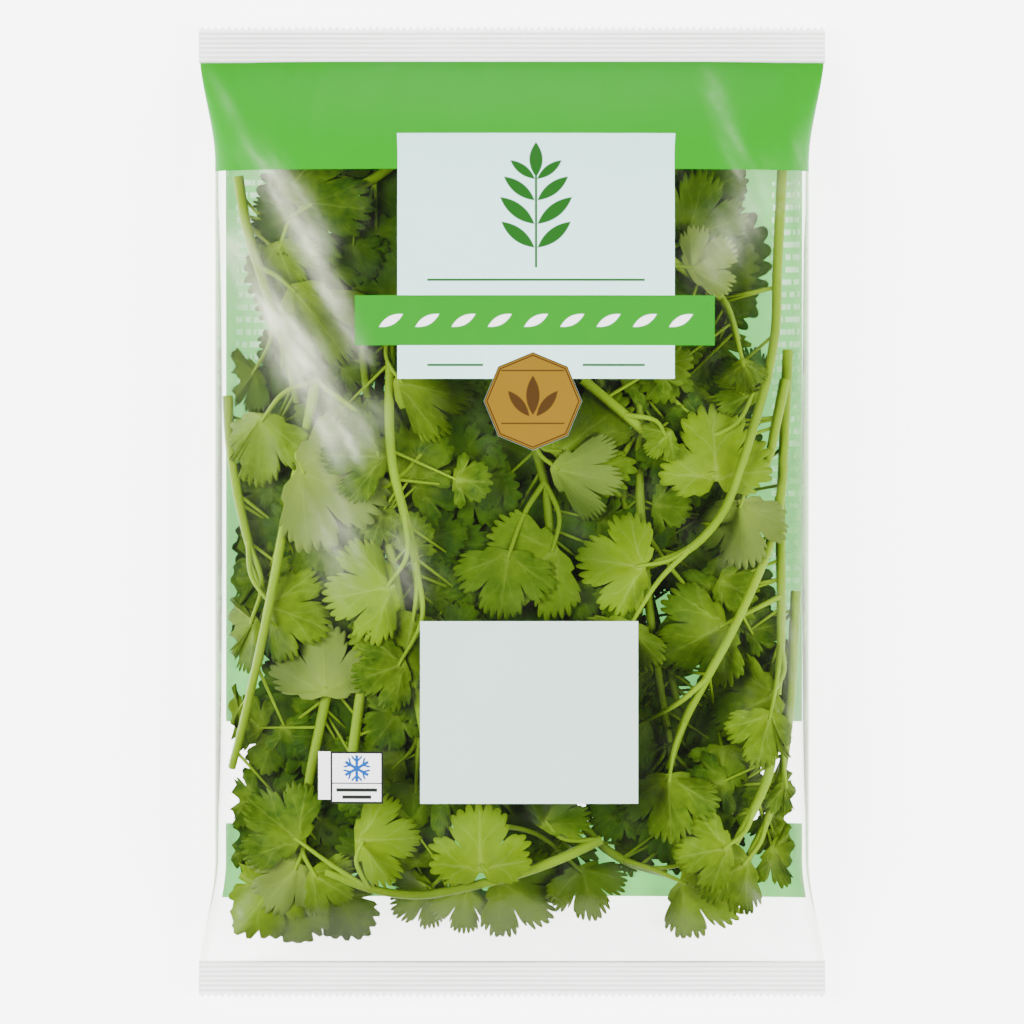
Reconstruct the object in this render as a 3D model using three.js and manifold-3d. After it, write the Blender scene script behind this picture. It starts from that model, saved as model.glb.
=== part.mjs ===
// A clear film bag of cut coriander, lying on its back on a table.
// Millimetres. +Z is up, +Y runs to the bag's top end, the origin is under its middle.
import * as THREE from "three";
import { mergeVertices } from "three/addons/utils/BufferGeometryUtils.js";
import Module from "manifold-3d";

const wasm = await Module();
wasm.setup();

// ---- Driving dimensions of the bag
const BAG_LENGTH = 250;
const BODY_WIDTH = 152.4; // the filled tube is narrower than the flat ends
const END_WIDTH = 161.4;
const BAG_DEPTH = 40;
const FILM = 0.6; // drawn far thicker than the real film, so that it is a solid
const SEAL_LENGTH = 9;
const SEAL_HEIGHT = 8; // middle of both end seals above the table
const TAPER = 40; // length over which the tube fills out from a seal
const FLARE = 27; // length over which the tube widens to a seal
const SIDE_SHARE = 0.42; // height of the bag's widest line, as a share of its depth
const FLAT_HALF = 42; // half the width of the patch that lies flat on the table
const FLAT_ROUNDNESS = 2.5; // exponent of that patch's outline
const TOP_ROUNDNESS = 2.7; // exponent of the upper half's section
const SLIVER = 0.02; // joins leave no edges shorter than this
const GAP = 0.3; // between the two lapped edges of the film
const SHEET_STATIONS = 10; // sections of the sheet between the bag's middle and a seal
const BURIED_SHARE = 0.8; // the sheet runs this far into a seal, as a share of its plain margin

// ---- The lapped seam along the bag's back
const LAP = 5; // half the width of the overlap
const LAP_END = 82; // the overlap ends here, and the edges meet side by side past LAP_FADE
const LAP_FADE = 93.5;
const LIFT_END = 103;

// ---- Crimped ends
const RIBS = 5;
const RIB_RISE = 0.35;
const RIB_MARGIN = 1.8; // plain film before the first rib
const CRIMP_HALF = 0.75;
const PLAIN_HALF = 0.95;
const STRIP_HALF = 0.35;
const STRIP_INSET = 0.1; // the toothed strip is this much narrower than the ribs on each side
const END_OVERLAP = 0.2; // a crimped end starts this far inside the tube
const TEETH_PER_END = 47;
const TOOTH_DEPTH = 0.9;

// ---- The coriander
const STEM_RADIUS = 1.5;
const STALK_HALF = 0.7; // half the width and height of a leaflet's stalk
const STEM_SIDES = 5;
const STEM_STEP = 13; // spacing of the points along a stem
const STEM_STIFFNESS = 8; // how far a stem spans hollows
const BLADE = 0.7; // thickness of a leaflet
const CLEAR = 0.5; // height kept between one sprig and the next
const DROOP = 0.12; // fall of a leaflet's edge, as a share of its length
const ARCH = 0.3; // how far out a leaflet's edge starts to fall
const MAX_SLOPE = 0.4;
const FRONT_TEETH = 9;
const INNER_TEETH = 5;
const STALK_SETBACK = 7; // a stalk leaves its stem this far short of its leaflet
const LAYING_PASSES = 12;
const ROOT_RISE = 0.6; // a stalk joins the upper side of its stem
const STALK_BEND = 0.6; // where a stalk bends, as a share of its way to the leaflet
const STALK_BOW = 0.15; // how far it bows there
const STALK_CHECKS = 20; // places where each straight run of it is checked
const FIRST_CHECK = 4; // nearer to its ends it touches its own sprig
const NECK_HALF = 0.45;
const STALK_NECK = 1.2; // from the point where the blade's ribs meet to its stalk
const WALL_MARGIN = 5; // leaflets keep this far from the bag's sides
const END_MARGIN = 13;

const FILM_COLOUR = 0xdfe8dc;
const HERB_COLOUR = 0x7d9a35;

const { clamp, lerp, degToRad } = THREE.MathUtils;
const SEAL_EDGE = BAG_LENGTH / 2 - SEAL_LENGTH;
const FLAT_END = SEAL_EDGE - TAPER;
const ease = (t) => clamp(t, 0, 1) ** 2 * (3 - 2 * clamp(t, 0, 1));

// ---- Shape of the filled tube ----------------------------------------------------------------

const fullness = (y) => Math.sin((Math.PI / 2) * clamp((SEAL_EDGE - Math.abs(y)) / TAPER, 0, 1));
const halfWidth = (y) => {
  const flare = ease((Math.abs(y) - (SEAL_EDGE - FLARE)) / (FLARE + SEAL_LENGTH / 2));
  return lerp(BODY_WIDTH, END_WIDTH, flare) / 2;
};
const tubeTop = (y) => lerp(SEAL_HEIGHT + CRIMP_HALF, BAG_DEPTH, fullness(y));
const tubeBase = (y) => lerp(SEAL_HEIGHT - CRIMP_HALF, 0, fullness(y));
const flatHalf = (y) => {
  const along = Math.min(Math.abs(y) / FLAT_END, 1);
  return FLAT_HALF * (1 - along ** FLAT_ROUNDNESS) ** (1 / FLAT_ROUNDNESS);
};

// Height of the film over (x, y), on the upper or the lower side, inset into the bag.
function filmHeight(x, y, inset, upper) {
  const half = halfWidth(y) - inset;
  const top = tubeTop(y) - inset;
  const base = tubeBase(y) + inset;
  const side = lerp(base, top, SIDE_SHARE);
  if (upper) {
    const across = Math.min(Math.abs(x) / half, 1);
    return side + (top - side) * (1 - across ** TOP_ROUNDNESS) ** (1 / TOP_ROUNDNESS);
  }
  const flat = flatHalf(y);
  const curl = clamp((Math.abs(x) - flat) / (half - flat), 0, 1);
  return side - (side - base) * Math.sqrt(1 - curl ** 2);
}

// ---- Solids -----------------------------------------------------------------------------------

function solidOf(geometry) {
  const bare = new THREE.BufferGeometry();
  bare.setAttribute("position", geometry.getAttribute("position"));
  bare.setIndex(geometry.getIndex());
  const merged = mergeVertices(bare, 1e-4);
  const vertProperties = new Float32Array(merged.getAttribute("position").array);
  const triVerts = new Uint32Array(merged.getIndex().array);
  return new wasm.Manifold(new wasm.Mesh({ numProp: 3, vertProperties, triVerts }));
}

function indexedSolid(points, faces) {
  const geometry = new THREE.BufferGeometry();
  geometry.setAttribute("position", new THREE.Float32BufferAttribute(points.flat(), 3));
  geometry.setIndex(faces.flat());
  return solidOf(geometry);
}

function meshOf(name, solid, material) {
  const { vertProperties, triVerts } = solid.getMesh();
  const geometry = new THREE.BufferGeometry();
  geometry.setAttribute("position", new THREE.BufferAttribute(vertProperties, 3));
  geometry.setIndex(new THREE.BufferAttribute(triVerts, 1));
  const mesh = new THREE.Mesh(geometry, material);
  mesh.name = name;
  return mesh;
}

// All the solids as one body, without slivers. Hollows that they close off between them are filled.
function joined(solids) {
  const whole = solids.reduce((sum, solid) => sum.add(solid)).simplify(SLIVER);
  return whole.decompose().reduce((best, piece) => (piece.volume() > best.volume() ? piece : best));
}

// ---- The film bag -----------------------------------------------------------------------------

// One section of the sheet from its outer lapped edge, round the bag, to its inner lapped edge.
const CURL_STEPS = 4; // round the lower side, from the flat patch to the widest line
const LEVEL_LEAST = 16; // the curl starts at least this far out
const UPPER_STEPS = 12;
const RAMP_START = 4; // where the inner lapped edge starts to rise, past the overlap
const RAMP_STOP = 1;

// Places across half of the lower film, from its start to the widest line.
function lowerPlaces(start, y, half) {
  const level = Math.max(flatHalf(y), LEVEL_LEAST);
  const places = [start, (start + level) / 2, level];
  for (let i = 1; i <= CURL_STEPS; i++) {
    places.push(level + (half - level) * Math.sin((Math.PI / 2) * (i / CURL_STEPS)));
  }
  return places;
}

function sheetSection(y, inset) {
  const half = halfWidth(y) - inset;
  const overlap = lerp(LAP, -GAP / 2, ease((Math.abs(y) - LAP_END) / (LAP_FADE - LAP_END)));
  const lift = (FILM + GAP) * (1 - ease((Math.abs(y) - LAP_FADE) / (LIFT_END - LAP_FADE)));
  const height = (x, upper) => filmHeight(x, y, inset, upper);
  const section = lowerPlaces(-overlap, y, half).map((place) => [-place, y, height(place, false)]);
  for (let i = 1; i < UPPER_STEPS; i++) {
    const x = -half * Math.cos(Math.PI * (i / UPPER_STEPS));
    section.push([x, y, height(x, true)]);
  }
  for (const place of lowerPlaces(overlap + RAMP_START, y, half).reverse()) {
    section.push([place, y, height(place, false)]);
  }
  section.push([overlap + RAMP_STOP, y, height(overlap, false) + lift]);
  section.push([-overlap, y, height(overlap, false) + lift]);
  return section;
}

function sheetStations() {
  const stations = [];
  for (let i = -SHEET_STATIONS; i <= SHEET_STATIONS; i++) {
    stations.push(SEAL_EDGE * Math.sin((Math.PI / 2) * (i / SHEET_STATIONS)));
  }
  const buried = SEAL_EDGE + RIB_MARGIN * BURIED_SHARE;
  return [-buried, ...stations, buried];
}

function filmSheet() {
  const stations = sheetStations();
  const outer = stations.map((y) => sheetSection(y, 0));
  const inner = stations.map((y) => sheetSection(y, FILM));
  const columns = outer[0].length;
  const points = [...outer.flat(), ...inner.flat()];
  const at = (layer, row, column) => (layer * stations.length + row) * columns + column;
  const faces = [];
  const quad = (a, b, c, d) => faces.push([a, c, b], [a, d, c]);
  for (let row = 0; row + 1 < stations.length; row++) {
    for (let column = 0; column + 1 < columns; column++) {
      const [a, b, c, d] = [at(0, row, column), at(0, row + 1, column),
        at(0, row + 1, column + 1), at(0, row, column + 1)];
      quad(a, b, c, d);
      const layer = at(1, 0, 0);
      quad(d + layer, c + layer, b + layer, a + layer);
    }
    const last = columns - 1;
    quad(at(0, row + 1, 0), at(0, row, 0), at(1, row, 0), at(1, row + 1, 0));
    quad(at(0, row, last), at(0, row + 1, last), at(1, row + 1, last), at(1, row, last));
  }
  const top = stations.length - 1;
  for (let column = 0; column + 1 < columns; column++) {
    quad(at(0, 0, column), at(0, 0, column + 1), at(1, 0, column + 1), at(1, 0, column));
    quad(at(0, top, column + 1), at(0, top, column), at(1, top, column), at(1, top, column + 1));
  }
  return indexedSolid(points, faces);
}

// The flat crimped end: ribs across the bag, raised on one face where they sink in the other.
function crimpedEnd() {
  const start = SEAL_EDGE - END_OVERLAP;
  const ribStart = SEAL_EDGE + RIB_MARGIN;
  const ribPitch = (BAG_LENGTH / 2 - TOOTH_DEPTH - GAP - ribStart) / RIBS;
  const wave = [];
  for (let i = 0; i <= 2 * RIBS; i++) {
    const rise = i === 0 || i === 2 * RIBS ? 0 : RIB_RISE * (i % 2 ? 1 : -1);
    wave.push([ribStart + (i * ribPitch) / 2, rise]);
  }
  const upper = wave.map(([y, rise]) => new THREE.Vector2(y, CRIMP_HALF + rise));
  const lower = wave.map(([y, rise]) => new THREE.Vector2(y, rise - CRIMP_HALF)).reverse();
  const profile = new THREE.Shape([
    new THREE.Vector2(start, -PLAIN_HALF),
    new THREE.Vector2(start, PLAIN_HALF),
    new THREE.Vector2(ribStart - ribPitch / 2, PLAIN_HALF),
    ...upper,
    ...lower,
    new THREE.Vector2(ribStart - ribPitch / 2, -PLAIN_HALF),
  ]);
  const plate = new THREE.ExtrudeGeometry(profile, { depth: END_WIDTH, bevelEnabled: false });
  const axes = new THREE.Matrix4().makeBasis(
    new THREE.Vector3(0, 1, 0), new THREE.Vector3(0, 0, 1), new THREE.Vector3(1, 0, 0));
  plate.applyMatrix4(axes);
  plate.translate(-END_WIDTH / 2, 0, SEAL_HEIGHT);
  return solidOf(plate).add(serratedStrip(ribStart + ribPitch * (RIBS - 1)));
}

// The knife-cut edge: a row of small teeth past the last rib.
function serratedStrip(start) {
  const half = END_WIDTH / 2 - STRIP_INSET;
  const pitch = (2 * half) / TEETH_PER_END;
  const outline = [new THREE.Vector2(half, start), new THREE.Vector2(half, BAG_LENGTH / 2 - TOOTH_DEPTH)];
  for (let i = 0; i < TEETH_PER_END; i++) {
    outline.push(new THREE.Vector2(half - (i + 0.5) * pitch, BAG_LENGTH / 2));
    outline.push(new THREE.Vector2(half - (i + 1) * pitch, BAG_LENGTH / 2 - TOOTH_DEPTH));
  }
  outline.push(new THREE.Vector2(-half, start));
  const shape = new THREE.Shape(outline);
  const strip = new THREE.ExtrudeGeometry(shape, { depth: 2 * STRIP_HALF, bevelEnabled: false });
  strip.translate(0, 0, SEAL_HEIGHT - STRIP_HALF);
  return solidOf(strip);
}

function filmBag() {
  const end = crimpedEnd();
  return joined([filmSheet(), end, end.rotate([0, 0, 180])]);
}

// ---- The pile: how high the bag is filled over each square millimetre -------------------------

const PILE_X = Math.ceil(END_WIDTH / 2);
const PILE_Y = Math.ceil(BAG_LENGTH / 2);
const PILE_COLUMNS = 2 * PILE_X + 1;
const CELL = 1;
const SAMPLE_STEP = 0.8; // a solid's height is read at least this closely
const pile = new Float32Array(PILE_COLUMNS * (2 * PILE_Y + 1));
const FACET_MARGIN = 0.8; // the film's flat facets stand this far inside its curved shape
const cell = (x, y) => {
  const column = clamp(Math.round(x), -PILE_X, PILE_X) + PILE_X;
  return column + (clamp(Math.round(y), -PILE_Y, PILE_Y) + PILE_Y) * PILE_COLUMNS;
};

function fillFloor() {
  for (let y = -PILE_Y; y <= PILE_Y; y++) {
    for (let x = -PILE_X; x <= PILE_X; x++) {
      const seam = Math.abs(x) < LAP + RAMP_START + CELL ? FILM + GAP : 0;
      const floor = filmHeight(x, y, FILM, false);
      const facets = floor > FILM ? FACET_MARGIN : 0;
      pile[cell(x, y)] = floor + seam + facets;
    }
  }
}

// Highest point of a pile within reach of (x, y). It already holds each solid one cell wider.
function pileTop(x, y, reach, heights = pile) {
  const span = Math.max(Math.round(reach - CELL), 0);
  let top = 0;
  for (let dy = -span; dy <= span; dy++) {
    for (let dx = -span; dx <= span; dx++) {
      top = Math.max(top, heights[cell(x + dx, y + dy)]);
    }
  }
  return top;
}

// Evenly spread weights of a triangle's three corners, about one for each square millimetre.
function triangleSamples(a, b, c) {
  const longest = Math.max(
    Math.hypot(a[0] - b[0], a[1] - b[1]),
    Math.hypot(b[0] - c[0], b[1] - c[1]),
    Math.hypot(c[0] - a[0], c[1] - a[1]));
  const steps = Math.max(1, Math.ceil(longest / SAMPLE_STEP));
  const samples = [];
  for (let i = 0; i <= steps; i++) {
    for (let j = 0; i + j <= steps; j++) {
      samples.push([i / steps, j / steps, 1 - (i + j) / steps]);
    }
  }
  return samples;
}

function addToPile(solid) {
  const { vertProperties, triVerts } = solid.getMesh();
  const point = (index) => Array.from(vertProperties.slice(3 * index, 3 * index + 3));
  const before = pile.slice();
  for (let i = 0; i < triVerts.length; i += 3) {
    const corners = [point(triVerts[i]), point(triVerts[i + 1]), point(triVerts[i + 2])];
    for (const weights of triangleSamples(...corners)) {
      const [x, y, z] = [0, 1, 2].map((axis) =>
        corners.reduce((sum, corner, k) => sum + corner[axis] * weights[k], 0));
      for (let dy = -1; dy <= 1; dy++) {
        for (let dx = -1; dx <= 1; dx++) {
          const here = cell(x + dx, y + dy);
          pile[here] = Math.max(pile[here], before[here], z);
        }
      }
    }
  }
}

// ---- Sprigs -----------------------------------------------------------------------------------

// A path through its own points, with one step of a tube for each of them.
class PointPath extends THREE.Curve {
  constructor(points) {
    super();
    this.points = points.map((point) => new THREE.Vector3(...point));
  }
  getPoint(t, target = new THREE.Vector3()) {
    const place = clamp(t, 0, 1) * (this.points.length - 1);
    const index = Math.min(Math.floor(place), this.points.length - 2);
    return target.lerpVectors(this.points[index], this.points[index + 1], place - index);
  }
  getPointAt(u, target) {
    return this.getPoint(u, target);
  }
  getTangentAt(u, target) {
    return this.getTangent(u, target);
  }
}

function tube(points, radius, sides) {
  const outline = [];
  for (let i = 0; i < sides; i++) {
    const angle = (2 * Math.PI * i) / sides;
    outline.push(new THREE.Vector2(radius * Math.cos(angle), radius * Math.sin(angle)));
  }
  return solidOf(new THREE.ExtrudeGeometry(new THREE.Shape(outline), {
    steps: points.length - 1,
    bevelEnabled: false,
    extrudePath: new PointPath(points),
  }));
}

// Lowest height at which a round stalk clears the pile along the line from a to b.
function clearHeight(a, b, radius) {
  const steps = Math.ceil(Math.hypot(b[0] - a[0], b[1] - a[1])) + 1;
  let top = 0;
  for (let i = 0; i <= steps; i++) {
    top = Math.max(top, pileTop(lerp(a[0], b[0], i / steps), lerp(a[1], b[1], i / steps), radius));
  }
  return top + radius + CLEAR;
}

// A stem laid on the pile: stiff, so it spans hollows and bends only over what is under it.
function laidStem(route) {
  const curve = new THREE.CatmullRomCurve3(route.map(([x, y]) => new THREE.Vector3(x, y, 0)));
  const steps = Math.max(3, Math.round(curve.getLength() / STEM_STEP));
  const points = curve.getSpacedPoints(steps).map((p) => [p.x, p.y, 0]);
  const needs = points.map((point, i) => Math.max(
    clearHeight(point, points[Math.max(i - 1, 0)], STEM_RADIUS),
    clearHeight(point, points[Math.min(i + 1, steps)], STEM_RADIUS)));
  points.forEach((point, i) => (point[2] = needs[i]));
  for (let pass = 0; pass < STEM_STIFFNESS; pass++) {
    for (let i = 1; i < steps; i++) {
      points[i][2] = Math.max(needs[i], (points[i - 1][2] + points[i + 1][2]) / 2);
    }
  }
  return points;
}

// Outline of a fan-shaped leaflet round the point where its stalk joins: three lobes of blunt
// teeth, with the deepest cuts between the lobes.
const TOOTH_CUT = 0.14;
const LOBE_CUT = 0.34;
const BASE_CORNER = 0.4; // reach of the fan's two back corners
const SIDE_REACH = 0.64; // reach of its sides, which swells by SWELL towards its tip
const SWELL = 0.36;
const SWELL_TURN = 0.8;

function leafletOutline([x, y, heading, length, spread], teeth) {
  const lobeTeeth = [Math.floor(teeth / 3), teeth - Math.floor(teeth / 3)];
  const outline = [];
  for (let i = 0; i <= 2 * teeth; i++) {
    const angle = spread * (i / teeth - 1);
    const reach = SIDE_REACH + SWELL * Math.cos(degToRad(SWELL_TURN * angle));
    let cut = i % 2 ? 0 : TOOTH_CUT;
    cut = lobeTeeth.includes(i / 2) ? LOBE_CUT : cut;
    const radius = i === 0 || i === 2 * teeth ? BASE_CORNER : reach * (1 - cut);
    outline.push([angle, radius]);
  }
  return outline.map(([angle, radius]) => {
    const turn = degToRad(heading + angle);
    const px = x + length * radius * Math.cos(turn);
    const py = y + length * radius * Math.sin(turn);
    const limit = halfWidth(py) - WALL_MARGIN;
    return [clamp(px, -limit, limit), clamp(py, END_MARGIN - BAG_LENGTH / 2, BAG_LENGTH / 2 - END_MARGIN), 0];
  });
}

// The tilted plane that best follows the given [x, y, height] points, no steeper than MAX_SLOPE.
function restingPlane(points) {
  const middle = [0, 1, 2].map((axis) => points.reduce((sum, p) => sum + p[axis], 0) / points.length);
  let [xx, xy, yy, xz, yz] = [1, 0, 1, 0, 0];
  for (const [px, py, pz] of points) {
    const [dx, dy, dz] = [px - middle[0], py - middle[1], pz - middle[2]];
    xx += dx * dx;
    xy += dx * dy;
    yy += dy * dy;
    xz += dx * dz;
    yz += dy * dz;
  }
  const determinant = xx * yy - xy * xy;
  let slopeX = (xz * yy - yz * xy) / determinant;
  let slopeY = (yz * xx - xz * xy) / determinant;
  const slope = Math.hypot(slopeX, slopeY);
  if (slope > MAX_SLOPE) {
    slopeX *= MAX_SLOPE / slope;
    slopeY *= MAX_SLOPE / slope;
  }
  return (x, y) => middle[2] + slopeX * (x - middle[0]) + slopeY * (y - middle[1]);
}

// A leaflet laid on the pile. It starts as an arched blade on the best plane, and its corners rise
// until every part of it is clear. The first corner is where its ribs meet.
function laidLeaflet(leaflet, teeth) {
  const [x, y, heading, length] = leaflet;
  const turn = degToRad(heading);
  const [ahead, left] = [[Math.cos(turn), Math.sin(turn)], [-Math.sin(turn), Math.cos(turn)]];
  const neck = [1, -1].map((side) => [0, 1].map((axis) =>
    leaflet[axis] - STALK_NECK * ahead[axis] + side * STALK_HALF * left[axis]));
  const corners = [[x, y, 0], ...leafletOutline(leaflet, teeth), [...neck[0], 0], [...neck[1], 0]];
  const rim = corners.length - 1;
  const triangles = Array.from({ length: rim }, (_, i) => [0, 1 + i, 1 + ((i + 1) % rim)]);
  const samples = triangles.flatMap((triangle) =>
    triangleSamples(...triangle.map((index) => corners[index])).map((weights) => {
      const px = weights.reduce((sum, weight, k) => sum + weight * corners[triangle[k]][0], 0);
      const py = weights.reduce((sum, weight, k) => sum + weight * corners[triangle[k]][1], 0);
      return { triangle, weights, place: [px, py, pileTop(px, py, 1) + BLADE / 2 + CLEAR] };
    }));
  const plane = restingPlane(samples.map(({ place }) => place));
  const enough = corners.map(() => 0); // no corner needs to be higher than this
  for (const { triangle, place } of samples) {
    triangle.forEach((index) => (enough[index] = Math.max(enough[index], place[2])));
  }
  const raise = (index, height) => {
    corners[index][2] = Math.min(height, enough[index]);
  };
  corners.forEach((corner, index) => {
    const away = Math.hypot(corner[0] - x, corner[1] - y) / length;
    raise(index, plane(corner[0], corner[1]) + DROOP * length * (ARCH - away ** 2));
  });
  for (let pass = 0; pass < LAYING_PASSES; pass++) {
    for (const { triangle, weights, place } of samples) {
      const height = weights.reduce((sum, weight, k) => sum + weight * corners[triangle[k]][2], 0);
      const short = place[2] - height;
      if (short > 0) {
        const share = short / weights.reduce((sum, weight) => sum + weight * weight, 0);
        const last = pass === LAYING_PASSES - 1;
        triangle.forEach((index, k) =>
          raise(index, last ? enough[index] : corners[index][2] + share * weights[k]));
      }
    }
  }
  const base = [corners[0], ...corners.slice(-2)]; // where the ribs meet, and both sides of the neck
  const baseHeight = Math.max(...base.map((corner) => corner[2]));
  base.forEach((corner) => (corner[2] = baseHeight));
  return { corners, triangles, left };
}

// The stalk's two further stations, from the leaflet back into the stem: a bend and a root.
function stalkRoute(stem, leaflet, hub, ground) {
  const [x, y, heading] = leaflet;
  const away = (point) => Math.hypot(point[0] - x, point[1] - y);
  const nearest = stem.reduce((best, point, i) => (away(point) < away(stem[best]) ? i : best), 0);
  const root = [...stem[Math.max(nearest - Math.ceil(STALK_SETBACK / STEM_STEP), 0)]];
  root[2] += ROOT_RISE;
  const turn = degToRad(heading);
  const reach = STALK_BOW * away(root);
  const bend = [
    lerp(root[0], x, STALK_BEND) - reach * Math.cos(turn),
    lerp(root[1], y, STALK_BEND) - reach * Math.sin(turn),
  ];
  bend.push(lerp(root[2], hub[2], STALK_BEND));
  // The bend is as high as it must be for both straight runs to clear the sprigs below.
  for (const end of [root, hub]) {
    for (let i = FIRST_CHECK; i <= STALK_CHECKS; i++) {
      const t = i / STALK_CHECKS;
      const top = pileTop(lerp(end[0], bend[0], t), lerp(end[1], bend[1], t), 1, ground);
      bend[2] = Math.max(bend[2], (top + STALK_HALF + CLEAR - end[2] * (1 - t)) / t);
    }
  }
  return [bend, root];
}

// A leaflet and its stalk in one outline: a thin blade, and a thicker strip that runs to the stem.
function leafletSolid({ corners, triangles, left }, route) {
  const stations = route.map((point, i) => {
    const ahead = i === 0 ? corners[0] : route[i - 1];
    const away = Math.hypot(ahead[0] - point[0], ahead[1] - point[1]) || 1;
    const side = [(point[1] - ahead[1]) / away, (ahead[0] - point[0]) / away];
    const across = i === 0 ? [(side[0] + left[0]) / 2, (side[1] + left[1]) / 2] : side;
    return [1, -1].map((way) =>
      [point[0] + way * STALK_HALF * across[0], point[1] + way * STALK_HALF * across[1], point[2]]);
  });
  const all = [...corners, ...stations.flat()];
  const count = all.length;
  const bladeCount = corners.length;
  const half = (index) => {
    const isNeck = index >= bladeCount - 2 && index < bladeCount;
    return index < bladeCount - 2 ? BLADE / 2 : isNeck ? NECK_HALF : STALK_HALF;
  };
  const points = [1, -1].flatMap((way) => all.map(([x, y, z], i) => [x, y, z + way * half(i)]));
  const faces = triangles.flatMap(([hub, a, b]) => [[hub, a, b], [hub + count, b + count, a + count]]);
  const leftEdge = Array.from({ length: bladeCount - 2 }, (_, i) => i + 1);
  const rightEdge = [bladeCount - 1];
  let [near, far] = [bladeCount - 2, bladeCount - 1];
  for (let i = 0; i < stations.length; i++) {
    const next = bladeCount + 2 * i;
    faces.push([near, next, next + 1], [near, next + 1, far]);
    faces.push([near + count, next + 1 + count, next + count], [near + count, far + count, next + 1 + count]);
    leftEdge.push(next);
    rightEdge.unshift(next + 1);
    [near, far] = [next, next + 1];
  }
  const edge = [...leftEdge, ...rightEdge];
  edge.forEach((a, i) => {
    const b = edge[(i + 1) % edge.length];
    faces.push([a, a + count, b + count], [a, b + count, b]);
  });
  return indexedSolid(points, faces);
}

function sprig({ stem, leaflets }, teeth) {
  const ground = pile.slice();
  const points = laidStem(stem);
  const solids = [tube(points, STEM_RADIUS, STEM_SIDES)];
  addToPile(solids[0]);
  for (const leaflet of leaflets) {
    const laid = laidLeaflet(leaflet, teeth);
    const solid = leafletSolid(laid, stalkRoute(points, leaflet, laid.corners[0], ground));
    addToPile(solid);
    solids.push(solid);
  }
  return joined(solids);
}

// ---- Where the sprigs lie -----------------------------------------------------------------------

// Sprigs deep in the bag: long stems that run along it, alternately from either end, with
// leaflets on both sides of their last half and three at the tip.
const INNER_SPRIGS = 9;
const INNER_LENGTH = 150;
const INNER_SEED = 5;
const GOLDEN = 0.618; // spaces them evenly across the bag
const INNER_MIDDLE = 8; // they lie a little towards the top end
const INNER_START = 76; // a stem starts this far from there
const INNER_ACROSS = [-50, 42]; // between these places across the bag
const INNER_SWING = 26; // and may point up to half of this many degrees aside
const INNER_BOW = 24;
const INNER_STEM_SIDES = [-54, 46]; // no stem goes further to the side
const INNER_LEAF_SIDES = [-47, 46]; // nor any leaflet
const INNER_LEAF_ENDS = [-76, 96];
const SIDE_LEAFLETS = [[0.34, 1], [0.5, -1], [0.66, 1], [0.82, -1]]; // share of the stem, side
const SIDE_TURN = [55, 75]; // degrees from the stem's heading
const SIDE_TURN_BACK = 20;
const SIDE_AWAY = [12, 18];
const SIDE_LENGTH = [20, 26];
const SIDE_SPREAD = 92;
const TIP_TURN = 75;
const TIP_AWAY = 6;
const TIP_LENGTH = 19;
const TIP_SPREAD = 85;

// The same row of numbers between 0 and 1 each time, from a linear congruential generator.
const RANDOM_FACTOR = 1664525;
const RANDOM_STEP = 1013904223;
const RANDOM_RANGE = 2 ** 32;

function seededRandom(seed) {
  let state = seed;
  return () => {
    state = (state * RANDOM_FACTOR + RANDOM_STEP) % RANDOM_RANGE;
    return state / RANDOM_RANGE;
  };
}

const between = ([low, high], random) => low + (high - low) * random();

function innerSprig(index, random) {
  const way = index % 2 ? 1 : -1;
  const heading = way * 90 + (random() - 0.5) * INNER_SWING;
  const startX = lerp(...INNER_ACROSS, (index * GOLDEN) % 1);
  const aim = degToRad(heading);
  const bow = (random() - 0.5) * INNER_BOW;
  const place = (share) => {
    const x = startX + share * INNER_LENGTH * Math.cos(aim) + bow * Math.sin(Math.PI * share);
    const y = INNER_MIDDLE - way * INNER_START + share * INNER_LENGTH * Math.sin(aim);
    return [clamp(x, ...INNER_STEM_SIDES), y];
  };
  const beside = ([x, y], turn, away) => [
    x + away * Math.cos(degToRad(turn)),
    y + away * Math.sin(degToRad(turn)),
  ];
  const leaflets = [];
  for (const [share, side] of SIDE_LEAFLETS) {
    const turn = heading + side * between(SIDE_TURN, random);
    const hub = beside(place(share), turn, between(SIDE_AWAY, random));
    leaflets.push([...hub, turn - side * SIDE_TURN_BACK, between(SIDE_LENGTH, random), SIDE_SPREAD]);
  }
  for (const side of [-1, 0, 1]) {
    const turn = heading + side * TIP_TURN;
    leaflets.push([...beside(place(1), turn, TIP_AWAY), turn, TIP_LENGTH, TIP_SPREAD]);
  }
  for (const leaflet of leaflets) {
    leaflet[0] = clamp(leaflet[0], ...INNER_LEAF_SIDES);
    leaflet[1] = clamp(leaflet[1], ...INNER_LEAF_ENDS);
  }
  return { stem: [0, 0.25, 0.5, 0.75, 1].map(place), leaflets };
}

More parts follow.
